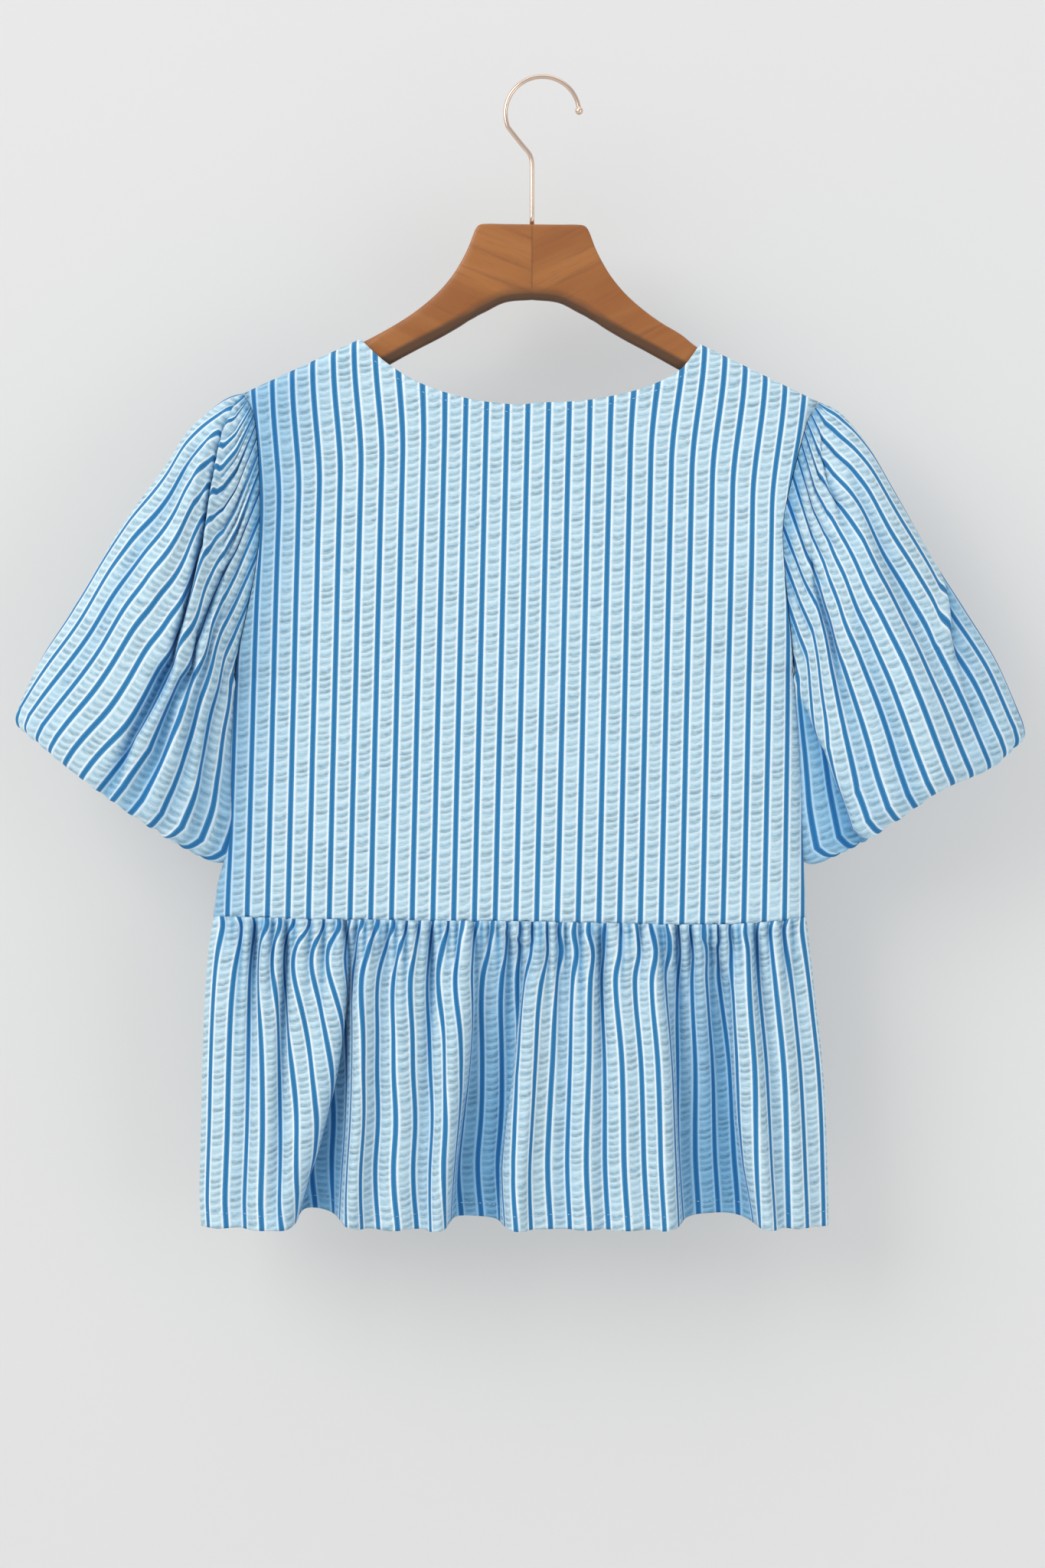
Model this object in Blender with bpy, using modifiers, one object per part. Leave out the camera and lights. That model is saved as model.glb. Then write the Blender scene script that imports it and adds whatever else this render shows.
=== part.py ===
# Babydoll blouse with puff sleeves and a gathered peplum, hung on a wooden hanger.
# The blouse shows its back to -Y. X runs across the shoulders, Z is up, and the origin is
# the inside of the hook's crown, where the hook rests on a rail. Tables are in millimetres.

import math
from collections import namedtuple

import bmesh
import bpy
from mathutils import Vector

MM = 0.001

CLOTH_WALL = 1.4         # thickness of a cloth wall
SEAM = 0.8               # between the edge lines of two sewn pieces, about 0.3 at their corners
SIDE_GAP = 0.65          # each side edge's distance from the side seam's plane

# Body grid
SHOULDER_COLUMNS = 5     # across each shoulder
NECK_COLUMNS = 20        # across the neck opening
BODY_COLUMNS = NECK_COLUMNS + 2 * SHOULDER_COLUMNS
WRAP_ROWS = 4            # over the hanger arms
SIDE_ROWS = 7            # from there to the underarm
ARM_ROWS = WRAP_ROWS + SIDE_ROWS
WAIST_ROWS = 3           # from the underarm to the waist seam
WRAP_ARC = 16.0          # length of cloth that the wrap rows cover
NECK_BAND = 12.0         # the same below the neckline
UNDERARM_CROWDING = 1.6  # crowds the rows toward the underarm
EDGE_CROWDING = 0.65     # crowds the columns near the side seams

WRAP_RADIUS = 9.6        # cloth over a hanger arm
SEAM_ROLL = 3.9          # how far the shoulder seam lies to the back of the crown
ARM_OPEN = 14.0          # half depth of an armhole
WAIST_SWELL = 9.0        # half depth gained from the shoulders to the waist
FLAT_TOP = 6.0           # roundness of the sections at the shoulders, flat with tight ends
FLAT_WAIST = 2.4         # the same from the underarm down
FRONT_NECK_DROP = 107.0  # depth of the front neckline below the neck points
FRONT_NECK_ROUND = 2.6   # how full its curve is
NECK_CROWDING = 2.2      # crowds the columns near the neck points
CROWN_RISE = 0.35        # slope of the hanger's top edge inside the neck points

# Sleeves
SLEEVE_COLUMNS = 48
SLEEVE_SHARES = (0.0, 0.035, 0.11, 0.24, 0.41, 0.59, 0.77, 0.91, 1.0)
UNDERARM_STEP = 1.4      # how much wider the armhole seam's gap is at the underarm
CUFF_HEIGHT = 11.0
CUFF_WALL = 1.6

# Peplum
PEPLUM_COLUMNS = 92
PEPLUM_CROWDING = 0.2    # crowds the peplum's columns near its sides
PEPLUM_SHARES = (0.0, 0.035, 0.12, 0.3, 0.55, 0.8, 1.0)
PEPLUM_FLAT = 2.6        # roundness of the peplum's sections

# Hanger and hook
HANGER_X = -7.2          # glue line between the two wooden halves
HANGER_TILT = 0.0099     # the right arm hangs a little lower
GLUE_GAP = 0.3
HANGER_SEAT = 1.4        # between an arm and the cloth's ridge, less over its rounded edges
WIRE = 3.2
HOOK_RADIUS = 25.7       # centre line of the hook's round
HOOK_TIP = 5.6           # ball at the hook's end
WOOD_TOP = -101.8

Edge = namedtuple("Edge", "z x")
Neck = namedtuple("Neck", "x z")
Ring = namedtuple("Ring", "share outer_x outer_z inner_x inner_z depth")
Gather = namedtuple("Gather", "share height")
Roll = namedtuple("Roll", "tuck reach")
Side = namedtuple("Side", "share left right")
Fold = namedtuple("Fold", "start end start_width end_width depth")
Station = namedtuple("Station", "out top face lip thick")

# Side edges of the two bodice panels: shoulder point, armhole, underarm, side seam, waist
LEFT_EDGE = (
    Edge(-219.3, -207.5), Edge(-232, -201), Edge(-250, -197.8), Edge(-273, -196.2),
    Edge(-297, -195.4), Edge(-321, -196), Edge(-345, -199), Edge(-370, -204.3),
    Edge(-416, -213.3), Edge(-475, -217.3), Edge(-517, -218.6), Edge(-542, -221),
    Edge(-560, -225.4), Edge(-582.5, -228.7))
RIGHT_EDGE = (
    Edge(-225.5, 192.1), Edge(-236, 184.9), Edge(-248, 180.9), Edge(-260, 177.7),
    Edge(-273, 174.4), Edge(-289, 170.3), Edge(-305, 167.1), Edge(-321, 166.3),
    Edge(-346, 167.9), Edge(-370, 170.3), Edge(-412, 174.4), Edge(-474, 179.3),
    Edge(-533, 181.2), Edge(-583, 183.5))
LEFT_UNDERARM = -416.0
RIGHT_UNDERARM = -412.0

# Back neckline from neck point to neck point
BACK_NECK = (
    Neck(-126.8, -181.8), Neck(-106.8, -198.8), Neck(-85.4, -212.1), Neck(-54.6, -222.5),
    Neck(-25.1, -226.7), Neck(2.1, -227.5), Neck(32.9, -226.3), Neck(61.2, -220.7),
    Neck(80.2, -213.7), Neck(96.7, -203.1), Neck(109.8, -185.3))
NECK_LEFT = BACK_NECK[0]
NECK_RIGHT = BACK_NECK[-1]

# Waist seam, which sags a little right of the middle
WAIST = (
    Neck(-228.7, -582.5), Neck(-150, -584.5), Neck(-8, -586), Neck(120, -588.2),
    Neck(160, -586), Neck(183.5, -583))

# Sleeve sections from the armhole to the hem: the outer and inner edge of each, and its half depth
LEFT_SLEEVE = (
    Ring(0.00, -207.5, -219.3, -215.3, -416.5, 14), Ring(0.05, -221, -224, -217.6, -423, 24),
    Ring(0.17, -246, -245, -219.5, -430, 32), Ring(0.28, -262, -270, -221, -437, 36),
    Ring(0.46, -291, -310, -224.5, -458, 38), Ring(0.70, -323, -370, -224.5, -490, 39),
    Ring(0.85, -346, -404, -223.5, -514, 38), Ring(1.00, -364, -437, -226.5, -537, 35))
RIGHT_SLEEVE = (
    Ring(0.00, 192.1, -225.5, 176.4, -413, 14), Ring(0.05, 206, -232, 179, -420, 24),
    Ring(0.17, 226, -255, 181, -427, 32), Ring(0.29, 242.5, -283, 182.5, -434, 36),
    Ring(0.52, 273, -337, 185.2, -464, 38), Ring(0.67, 294, -370, 185.8, -486, 39),
    Ring(0.83, 316, -406, 186.2, -512, 38), Ring(1.00, 334, -448, 189, -538, 35))

# Height of the small gathers along a sleeve and down the peplum, from seam to hem
SLEEVE_GATHERS = (
    Gather(0.0, 0.0), Gather(0.035, 1.5), Gather(0.11, 1.6), Gather(0.4, 0.8), Gather(0.8, 0.6),
    Gather(1.0, 1.2))
PEPLUM_GATHERS = (
    Gather(0.0, 0.0), Gather(0.035, 1.5), Gather(0.12, 1.7), Gather(0.3, 1.2),
    Gather(0.55, 0.7), Gather(1.0, 0.3))

# The sleeve's hem turned under: how far each ring draws in, and how far it lies past the hem
HEM_ROLL = (Roll(7, 8), Roll(17, 10.5), Roll(28, 6), Roll(34, -4))

# Long folds down the back of each sleeve, as turns round its section in degrees from the
# outer edge, and similar ones down its hidden front
LEFT_SLEEVE_FOLDS = (
    Fold(47, 85, 9, 15, 5.5), Fold(88, 106, 9, 14, 5.0), Fold(118, 132, 8, 12, 3.5),
    Fold(238, 252, 10, 15, 4.5), Fold(285, 292, 9, 14, 5.0), Fold(318, 306, 9, 13, 3.5))
RIGHT_SLEEVE_FOLDS = (
    Fold(14, 44, 8, 11, 4.5), Fold(70, 130, 9, 14, 5.5), Fold(100, 96, 8, 13, 3.5),
    Fold(232, 250, 10, 15, 4.5), Fold(278, 296, 9, 14, 5.0), Fold(322, 312, 9, 13, 3.5))

# Peplum side edges, and its long folds: centre at the waist and at the hem, half widths
# there, and depth at the hem, toward the outside where it is above zero
PEPLUM_SIDES = (
    Side(0.0, -228.7, 183.5), Side(0.13, -232.6, 186.6), Side(0.3, -235, 190.6),
    Side(0.48, -236.4, 194.8), Side(0.67, -237.2, 197.2), Side(0.9, -238.4, 198.6),
    Side(1.0, -237.2, 199))
BACK_FOLDS = (
    Fold(-205, -211, 14, 24, 7), Fold(-140, -164, 9, 15, -16), Fold(-104, -118, 12, 17, 6),
    Fold(-82, -84, 7, 9, -4), Fold(-62, -66, 8, 12, 5), Fold(-40, -43, 9, 17, -16),
    Fold(-8, -2, 12, 17, 7), Fold(20, 27, 7, 10, -4), Fold(48, 58, 12, 19, 7),
    Fold(98, 104, 8, 13, -12), Fold(116, 136, 9, 14, -14), Fold(160, 172, 12, 16, 6))
FRONT_FOLDS = (
    Fold(-208, -206, 14, 21, 6), Fold(-168, -172, 9, 15, -13), Fold(-130, -136, 12, 18, 7),
    Fold(-96, -92, 9, 15, -15), Fold(-52, -50, 12, 19, 7), Fold(-22, -16, 8, 11, -5),
    Fold(12, 18, 12, 18, 6), Fold(52, 60, 9, 17, -16), Fold(92, 98, 12, 17, 7),
    Fold(130, 140, 9, 15, -14), Fold(164, 174, 12, 15, 5))
HEM_Z = -797.0
HEM_LIFT = 0.22          # rise of the hem for each millimetre that a fold lies back
PEPLUM_SWELL = 25.0      # half depth at the hem

# Wooden hanger: distance from the glue line, top edge, lower edge of the flat face, lip
# under it, half thickness
HANGER = (
    Station(0, -101.8, -148, -154, 6.5), Station(18.6, -101.8, -150, -156, 6.5),
    Station(33, -101.8, -156.5, -163, 6.5), Station(37.4, -103, -158.8, -165.2, 6.5),
    Station(40, -107.5, -160.5, -166.8, 6.5), Station(44, -121, -163, -169, 6.5),
    Station(50, -131, -166.5, -173.5, 6.4), Station(56, -142, -169.6, -177, 6.4),
    Station(65.5, -152.5, -174.2, -182, 6.3), Station(78, -164, -180.6, -188.5, 6.2),
    Station(90, -171.8, -187, -195, 6.1), Station(104, -178.4, -194.6, -202.6, 6.0))
HANGER_END = 183.0
CLOTH_REACH = 2.5        # how far inside the neck points the arms get their hidden section
ARM_HEIGHT = 22.0        # of an arm where it enters the cloth
ARM_END_HEIGHT = 13.0
ARM_END_THICK = 4.6
EASED_HEAD = 1.8         # rounding of the top edges that show
EASED_ARM = 3.8          # the same under the cloth
LIP_SHARE = 0.45         # width of the lip's lower edge, as a share of the thickness
FACE_SHARE = 0.66        # height of an arm's flat face, as a share of the arm's

CLOTH_COLOUR = (0.55, 0.72, 0.86, 1)
WOOD_COLOUR = (0.42, 0.19, 0.065, 1)
METAL_COLOUR = (0.78, 0.62, 0.52, 1)


def clear_scene():
    for thing in list(bpy.data.objects):
        bpy.data.objects.remove(thing, do_unlink=True)
    for group in list(bpy.data.collections):
        bpy.data.collections.remove(group)


def make_material(name, colour, roughness, metallic):
    material = bpy.data.materials.new(name)
    material.use_nodes = True
    shader = material.node_tree.nodes["Principled BSDF"]
    shader.inputs["Base Color"].default_value = colour
    shader.inputs["Roughness"].default_value = roughness
    shader.inputs["Metallic"].default_value = metallic
    return material


def mix(a, b, share):
    return a + (b - a) * share


def ease(share):
    share = min(max(share, 0.0), 1.0)
    return share * share * (3.0 - 2.0 * share)


def read(table, column, place):
    """One column of a table at a place along its first column, on a smooth curve."""
    at = [row[0] for row in table]
    values = [getattr(row, column) for row in table]
    if at[0] > at[-1]:
        at.reverse()
        values.reverse()
    place = min(max(place, at[0]), at[-1])
    low = 0
    while low < len(at) - 2 and place > at[low + 1]:
        low += 1

    def slope(index):
        before = max(index - 1, 0)
        after = min(index + 1, len(at) - 1)
        return (values[after] - values[before]) / (at[after] - at[before])

    span = at[low + 1] - at[low]
    t = (place - at[low]) / span
    return ((2 * t ** 3 - 3 * t ** 2 + 1) * values[low] + (3 * t ** 2 - 2 * t ** 3) * values[low + 1]
            + (t ** 3 - 2 * t ** 2 + t) * span * slope(low)
            + (t ** 3 - t ** 2) * span * slope(low + 1))


def add_object(name, mesh, material, collection):
    mesh.materials.append(material)
    thing = bpy.data.objects.new(name, mesh)
    collection.objects.link(thing)
    return thing


def make_mesh(name, rows, closed, capped=False):
    """A surface lofted through rows of points in millimetres."""
    bm = bmesh.new()
    grid = [[bm.verts.new(Vector(point) * MM) for point in row] for row in rows]
    count = len(grid[0])
    for upper, lower in zip(grid, grid[1:]):
        for column in range(count if closed else count - 1):
            beside = (column + 1) % count
            bm.faces.new((upper[column], lower[column], lower[beside], upper[beside]))
    if capped:
        bm.faces.new(grid[0])
        bm.faces.new(list(reversed(grid[-1])))
    bmesh.ops.recalc_face_normals(bm, faces=bm.faces)
    mesh = bpy.data.meshes.new(name)
    bm.to_mesh(mesh)
    bm.free()
    mesh.shade_smooth()
    return mesh


def make_cloth(name, rows, closed, wall, material, collection):
    thing = add_object(name, make_mesh(name, rows, closed), material, collection)
    solidify = thing.modifiers.new("Wall", "SOLIDIFY")
    solidify.thickness = wall * MM
    solidify.offset = 0.0
    return thing


# Shared lines of the bodice


def crown(x):
    """Height of the cloth's ridge over the hanger at x."""
    left_tip = LEFT_EDGE[0]
    right_tip = RIGHT_EDGE[0]
    if x < NECK_LEFT.x:
        return mix(left_tip.z, NECK_LEFT.z, (x - left_tip.x) / (NECK_LEFT.x - left_tip.x))
    if x > NECK_RIGHT.x:
        return mix(NECK_RIGHT.z, right_tip.z, (x - NECK_RIGHT.x) / (right_tip.x - NECK_RIGHT.x))
    across = (x - NECK_LEFT.x) / (NECK_RIGHT.x - NECK_LEFT.x)
    return mix(NECK_LEFT.z, NECK_RIGHT.z, across) + CROWN_RISE * min(x - NECK_LEFT.x, NECK_RIGHT.x - x)


def back_neck(x):
    return read(BACK_NECK, "z", x)


def front_neck(x):
    """A plain round neckline for the front, which nothing shows."""
    middle = (NECK_LEFT.x + NECK_RIGHT.x) / 2
    half = (NECK_RIGHT.x - NECK_LEFT.x) / 2
    out = min(abs(x - middle) / half, 1.0)
    level = mix(NECK_LEFT.z, NECK_RIGHT.z, (x - NECK_LEFT.x) / (2 * half))
    return level - FRONT_NECK_DROP * (1.0 - out ** FRONT_NECK_ROUND)


def top_x(column):
    """Place of a body column on the shoulder lines and across the neck."""
    if column <= SHOULDER_COLUMNS:
        return mix(LEFT_EDGE[0].x, NECK_LEFT.x, column / SHOULDER_COLUMNS)
    if column >= BODY_COLUMNS - SHOULDER_COLUMNS:
        return mix(RIGHT_EDGE[0].x, NECK_RIGHT.x, (BODY_COLUMNS - column) / SHOULDER_COLUMNS)
    across = 2 * (column - SHOULDER_COLUMNS) / NECK_COLUMNS
    if across <= 1:
        return mix(NECK_LEFT.x, NECK_RIGHT.x, across ** NECK_CROWDING / 2)
    return mix(NECK_RIGHT.x, NECK_LEFT.x, (2 - across) ** NECK_CROWDING / 2)


def spread(share, crowding):
    """Share across the waist of a share of the columns, closer together at the sides."""
    return mix(share, (1 - math.cos(math.pi * share)) / 2, crowding)


def waist_x(share):
    return mix(LEFT_EDGE[-1].x, RIGHT_EDGE[-1].x, spread(share, EDGE_CROWDING))


def row_arc(row, start, end):
    """Length of cloth from the crown to a row, between the top edge and the underarm."""
    wrapped = max(WRAP_ARC, start + NECK_BAND)
    if row <= WRAP_ROWS:
        return mix(start, wrapped, row / WRAP_ROWS)
    left = 1 - (row - WRAP_ROWS) / SIDE_ROWS
    return mix(wrapped, end, 1 - left ** UNDERARM_CROWDING)


def arm_share(row):
    """How far down the armhole a row's end lies, from the shoulder point to the underarm."""
    length = LEFT_EDGE[0].z - LEFT_UNDERARM
    return row_arc(min(row, ARM_ROWS), 0.0, length) / length


def arm_depth(share):
    """Half depth of the armhole, which closes to the side seam at both ends."""
    return SIDE_GAP + ARM_OPEN * 2 * math.sqrt(max(share * (1 - share), 0.0))


def arc_to(depth, radius):
    """Length of cloth from the crown to a depth below it, over a rounded hanger arm."""
    if depth >= radius:
        return radius * math.pi / 2 + depth - radius
    return radius * math.acos(1 - depth / radius)


def bow_share(columns_in):
    """How much of a side edge's curve a column takes, so many columns in from it."""
    return max(1 - columns_in / SHOULDER_COLUMNS, 0.0) ** 1.5


def body_point(column, row, facing):
    """A point of the back (facing -1) or front (facing 1) bodice."""
    across = column / BODY_COLUMNS
    out = abs(2 * across - 1)
    start_x = top_x(column)
    ridge = crown(start_x)
    underarm = mix(LEFT_UNDERARM, RIGHT_UNDERARM, across)
    waist = read(WAIST, "z", waist_x(across))
    neck = back_neck if facing < 0 else front_neck
    down = arm_share(row)
    flat = mix(FLAT_TOP, FLAT_WAIST, ease(down))
    fullness = max(1 - out ** flat, 0.0) ** (1 / flat)
    radius = max(WRAP_RADIUS * fullness, 0.001)

    from_tip = min(column, BODY_COLUMNS - column)
    ramp = ease(from_tip / 2) * (1 - 0.6 * ease(from_tip - SHOULDER_COLUMNS + 1))
    start = -facing * SEAM_ROLL * ramp
    if column not in (0, BODY_COLUMNS):
        start += SEAM / 2
    if SHOULDER_COLUMNS < column < BODY_COLUMNS - SHOULDER_COLUMNS:
        start = max(start, arc_to(ridge - neck(start_x), WRAP_RADIUS))
    if row <= ARM_ROWS:
        arc = row_arc(row, start, arc_to(ridge - underarm, radius))
        turn = max(min(arc / radius, math.pi / 2), -math.pi / 2)
        z = ridge - radius * (1 - math.cos(turn)) - max(arc - radius * math.pi / 2, 0)
    else:
        turn = math.pi / 2
        z = mix(underarm, waist, (row - ARM_ROWS) / WAIST_ROWS)

    fall = (ridge - z) / (ridge - waist)
    swell = WAIST_SWELL * ease(fall)
    depth = arm_depth(down) * (1 - fullness) + radius * math.sin(turn) + swell * fullness

    x = mix(start_x, waist_x(across), fall)
    left_level = mix(LEFT_EDGE[0].z, LEFT_UNDERARM, down) if row <= ARM_ROWS else z
    right_level = mix(RIGHT_EDGE[0].z, RIGHT_UNDERARM, down) if row <= ARM_ROWS else z
    left_fall = (LEFT_EDGE[0].z - left_level) / (LEFT_EDGE[0].z - LEFT_EDGE[-1].z)
    right_fall = (RIGHT_EDGE[0].z - right_level) / (RIGHT_EDGE[0].z - RIGHT_EDGE[-1].z)
    left_bow = read(LEFT_EDGE, "x", left_level) - mix(LEFT_EDGE[0].x, LEFT_EDGE[-1].x, left_fall)
    right_bow = read(RIGHT_EDGE, "x", right_level) - mix(RIGHT_EDGE[0].x, RIGHT_EDGE[-1].x, right_fall)
    x += left_bow * bow_share(column) + right_bow * bow_share(BODY_COLUMNS - column)
    z += (crown(x) - ridge) * fullness * (1 - down)
    return x, facing * depth, z


def bodice_rows(facing):
    return [[body_point(column, row, facing) for column in range(BODY_COLUMNS + 1)]
            for row in range(ARM_ROWS + WAIST_ROWS + 1)]


# Sleeves


def armhole_point(column, step, outward):
    """A sleeve's first ring, on the straight edges between the bodice rows' ends."""
    half = SLEEVE_COLUMNS // 2
    facing = -1 if step <= half else 1
    drop = (1 - math.cos(2 * math.pi * step / SLEEVE_COLUMNS)) / 2
    row = 0
    while row < ARM_ROWS - 1 and arm_share(row + 1) < drop:
        row += 1
    above = Vector(body_point(column, row, facing))
    below = Vector(body_point(column, row + 1, facing))
    point = above.lerp(below, (drop - arm_share(row)) / (arm_share(row + 1) - arm_share(row)))
    if step in (0, half):
        point.y = 0.0
    point.x += outward * (SEAM + UNDERARM_STEP * drop ** 6)
    return point


def fold_depth(folds, turn, share):
    """How far the long folds of a sleeve sink its wall at a turn in degrees."""
    sunk = 0.0
    for fold in folds:
        centre = mix(fold.start, fold.end, share)
        width = mix(fold.start_width, fold.end_width, share)
        sunk += fold.depth * ease(share * 4) * math.exp(-((turn - centre) / width) ** 2)
    return sunk


def sleeve_ring(table, folds, share, tuck=0.0, reach=0.0, gathered=1.0):
    """A section of a sleeve, drawn in by tuck and moved past the hem by reach."""
    outer = Vector((read(table, "outer_x", share), 0, read(table, "outer_z", share)))
    inner = Vector((read(table, "inner_x", share), 0, read(table, "inner_z", share)))
    chord = outer - inner
    along = chord.normalized()
    past = Vector((along.z, 0, -along.x))
    if past.z > 0:
        past = -past
    half = chord.length / 2 - tuck
    depth = read(table, "depth", share) - tuck * 0.62
    middle = (outer + inner) / 2 + past * reach
    points = []
    for step in range(SLEEVE_COLUMNS):
        turn = 2 * math.pi * step / SLEEVE_COLUMNS
        gather = gathered * read(SLEEVE_GATHERS, "height", share) * (1 if step % 2 else -1)
        sunk = gather - gathered * fold_depth(folds, math.degrees(turn), share)
        point = middle + along * (half + sunk) * math.cos(turn)
        point.y = -(depth + sunk) * math.sin(turn)
        points.append(point)
    return points


def sleeve_rows(table, folds, column, outward):
    rows = [[armhole_point(column, step, outward) for step in range(SLEEVE_COLUMNS)]]
    for share in SLEEVE_SHARES[1:]:
        rows.append(sleeve_ring(table, folds, share))
    for count, roll in enumerate(HEM_ROLL, start=1):
        gathered = 1 - (count / len(HEM_ROLL)) ** 2
        rows.append(sleeve_ring(table, folds, 1.0, roll.tuck, roll.reach, gathered))
    return rows


def cuff_rows(table):
    """A narrow band inside the hem, which the turned hem is gathered onto."""
    last = HEM_ROLL[-1]
    seam = last.reach - SEAM
    return [sleeve_ring(table, (), 1.0, last.tuck + 1, reach, 0.0)
            for reach in (seam, seam - CUFF_HEIGHT)]


# Peplum


def waist_point(across, facing):
    """A point on the straight edges between the ends of the bodice's columns."""
    x = mix(LEFT_EDGE[-1].x, RIGHT_EDGE[-1].x, across)
    column = 0
    while column < BODY_COLUMNS - 1 and waist_x((column + 1) / BODY_COLUMNS) < x:
        column += 1
    last_row = ARM_ROWS + WAIST_ROWS
    beside = Vector(body_point(column, last_row, facing))
    beyond = Vector(body_point(column + 1, last_row, facing))
    return beside.lerp(beyond, (x - beside.x) / (beyond.x - beside.x))


def peplum_point(column, share, facing, folds):
    across = spread(column / PEPLUM_COLUMNS, PEPLUM_CROWDING)
    seam = waist_point(across, facing)
    seam.z -= SEAM
    if share == 0:
        return seam
    left = read(PEPLUM_SIDES, "left", share)
    right = read(PEPLUM_SIDES, "right", share)
    x = mix(left, right, across)
    out = abs(2 * (x - left) / (right - left) - 1)
    fullness = max(1 - out ** PEPLUM_FLAT, 0.0) ** (1 / PEPLUM_FLAT)
    seam_full = (abs(seam.y) - SIDE_GAP) / (WRAP_RADIUS + WAIST_SWELL)
    depth = mix((WRAP_RADIUS + WAIST_SWELL) * seam_full, PEPLUM_SWELL * fullness, ease(share * 1.1))
    fold = 0.0
    for row in folds:
        centre = mix(row.start, row.end, share)
        width = mix(row.start_width, row.end_width, share)
        fold += row.depth * share ** 0.8 * math.exp(-((x - centre) / width) ** 2)
    side = min(1.0, fullness * 1.5)
    gather = read(PEPLUM_GATHERS, "height", share) * (1 if column % 2 else -1)
    if column in (0, PEPLUM_COLUMNS):
        gather = 0.0
    depth += SIDE_GAP + (fold + gather) * side
    z = mix(seam.z, HEM_Z - HEM_LIFT * fold * share, share)
    return x, facing * depth, z


def peplum_rows(facing, folds):
    return [[peplum_point(column, share, facing, folds) for column in range(PEPLUM_COLUMNS + 1)]
            for share in PEPLUM_SHARES]


# Hanger and hook


def hanger_section(x, top, face, lip, thick, eased):
    """A section of the wood across Y: eased top edges, flat faces, a sloping lip below."""
    lip_flat = thick * LIP_SHARE
    half = ((thick - eased, top), (thick, top - eased), (thick, face), (lip_flat, lip))
    return [(x, -y, z) for y, z in half] + [(x, y, z) for y, z in reversed(half)]


def hanger_rows(side):
    rows = []
    for station in HANGER:
        x = HANGER_X + side * max(station.out, GLUE_GAP / 2)
        tilt = -HANGER_TILT * (x - HANGER_X)
        rows.append(hanger_section(x, station.top + tilt, station.face + tilt,
                                   station.lip + tilt, station.thick, EASED_HEAD))
    neck = NECK_LEFT if side < 0 else NECK_RIGHT
    start = abs(neck.x - HANGER_X) - CLOTH_REACH
    steps = 5
    for step in range(steps + 1):
        share = step / steps
        out = mix(start, HANGER_END, share)
        x = HANGER_X + side * out
        top = crown(x) - CLOTH_WALL / 2 - HANGER_SEAT
        height = mix(ARM_HEIGHT, ARM_END_HEIGHT, share)
        thick = mix(HANGER[-1].thick, ARM_END_THICK, share ** 2)
        rows.append(hanger_section(x, top, top - height * FACE_SHARE, top - height, thick,
                                   min(EASED_ARM, thick - 1)))
    return rows


def make_hanger_half(name, side, material, collection):
    mesh = make_mesh(name, hanger_rows(side), closed=True, capped=True)
    mesh.set_sharp_from_angle(angle=math.radians(30))
    return add_object(name, mesh, material, collection)


def hook_route():
    """Centre line of the wire: ball tip, round crown, lean back to the middle, stem."""
    centre = Vector((0, 0, -(HOOK_RADIUS - WIRE / 2)))
    tip_turn = math.radians(4)
    end_turn = math.radians(202)
    steps = 20
    route = []
    for step in range(steps + 1):
        turn = mix(tip_turn, end_turn, step / steps)
        route.append(centre + HOOK_RADIUS * Vector((math.cos(turn), 0, math.sin(turn))))
    route.append(Vector((-14.0, 0, -46.2)))
    route.append(Vector((-9.2, 0, -52.0)))
    route.append(Vector((HANGER_X - 0.4, 0, -56.0)))
    route.append(Vector((HANGER_X, 0, -61.0)))
    route.append(Vector((HANGER_X, 0, WOOD_TOP + 0.3)))
    return route


def make_hook(material, collection):
    curve = bpy.data.curves.new("hook", "CURVE")
    curve.dimensions = "3D"
    curve.bevel_depth = WIRE / 2 * MM
    curve.bevel_resolution = 2
    curve.use_fill_caps = True
    route = hook_route()
    ball_steps = 6
    ball = HOOK_TIP / 2
    centre = route[0]
    onward = (route[0] - route[1]).normalized()
    bead = []
    for step in range(ball_steps):
        turn = math.pi * (step + 0.5) / (ball_steps + 0.5)
        radius = max(ball * math.sin(turn), 0.4)
        if step > ball_steps / 2:
            radius = max(radius, WIRE / 2)
        bead.append((centre + onward * ball * math.cos(turn), radius / (WIRE / 2)))
    points = bead + [(place, 1.0) for place in route[1:]]
    spline = curve.splines.new("POLY")
    spline.points.add(len(points) - 1)
    for point, (place, radius) in zip(spline.points, points):
        point.co = (*(place * MM), 1)
        point.radius = radius
    curve.materials.append(material)
    thing = bpy.data.objects.new("hook", curve)
    collection.objects.link(thing)
    return thing


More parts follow.
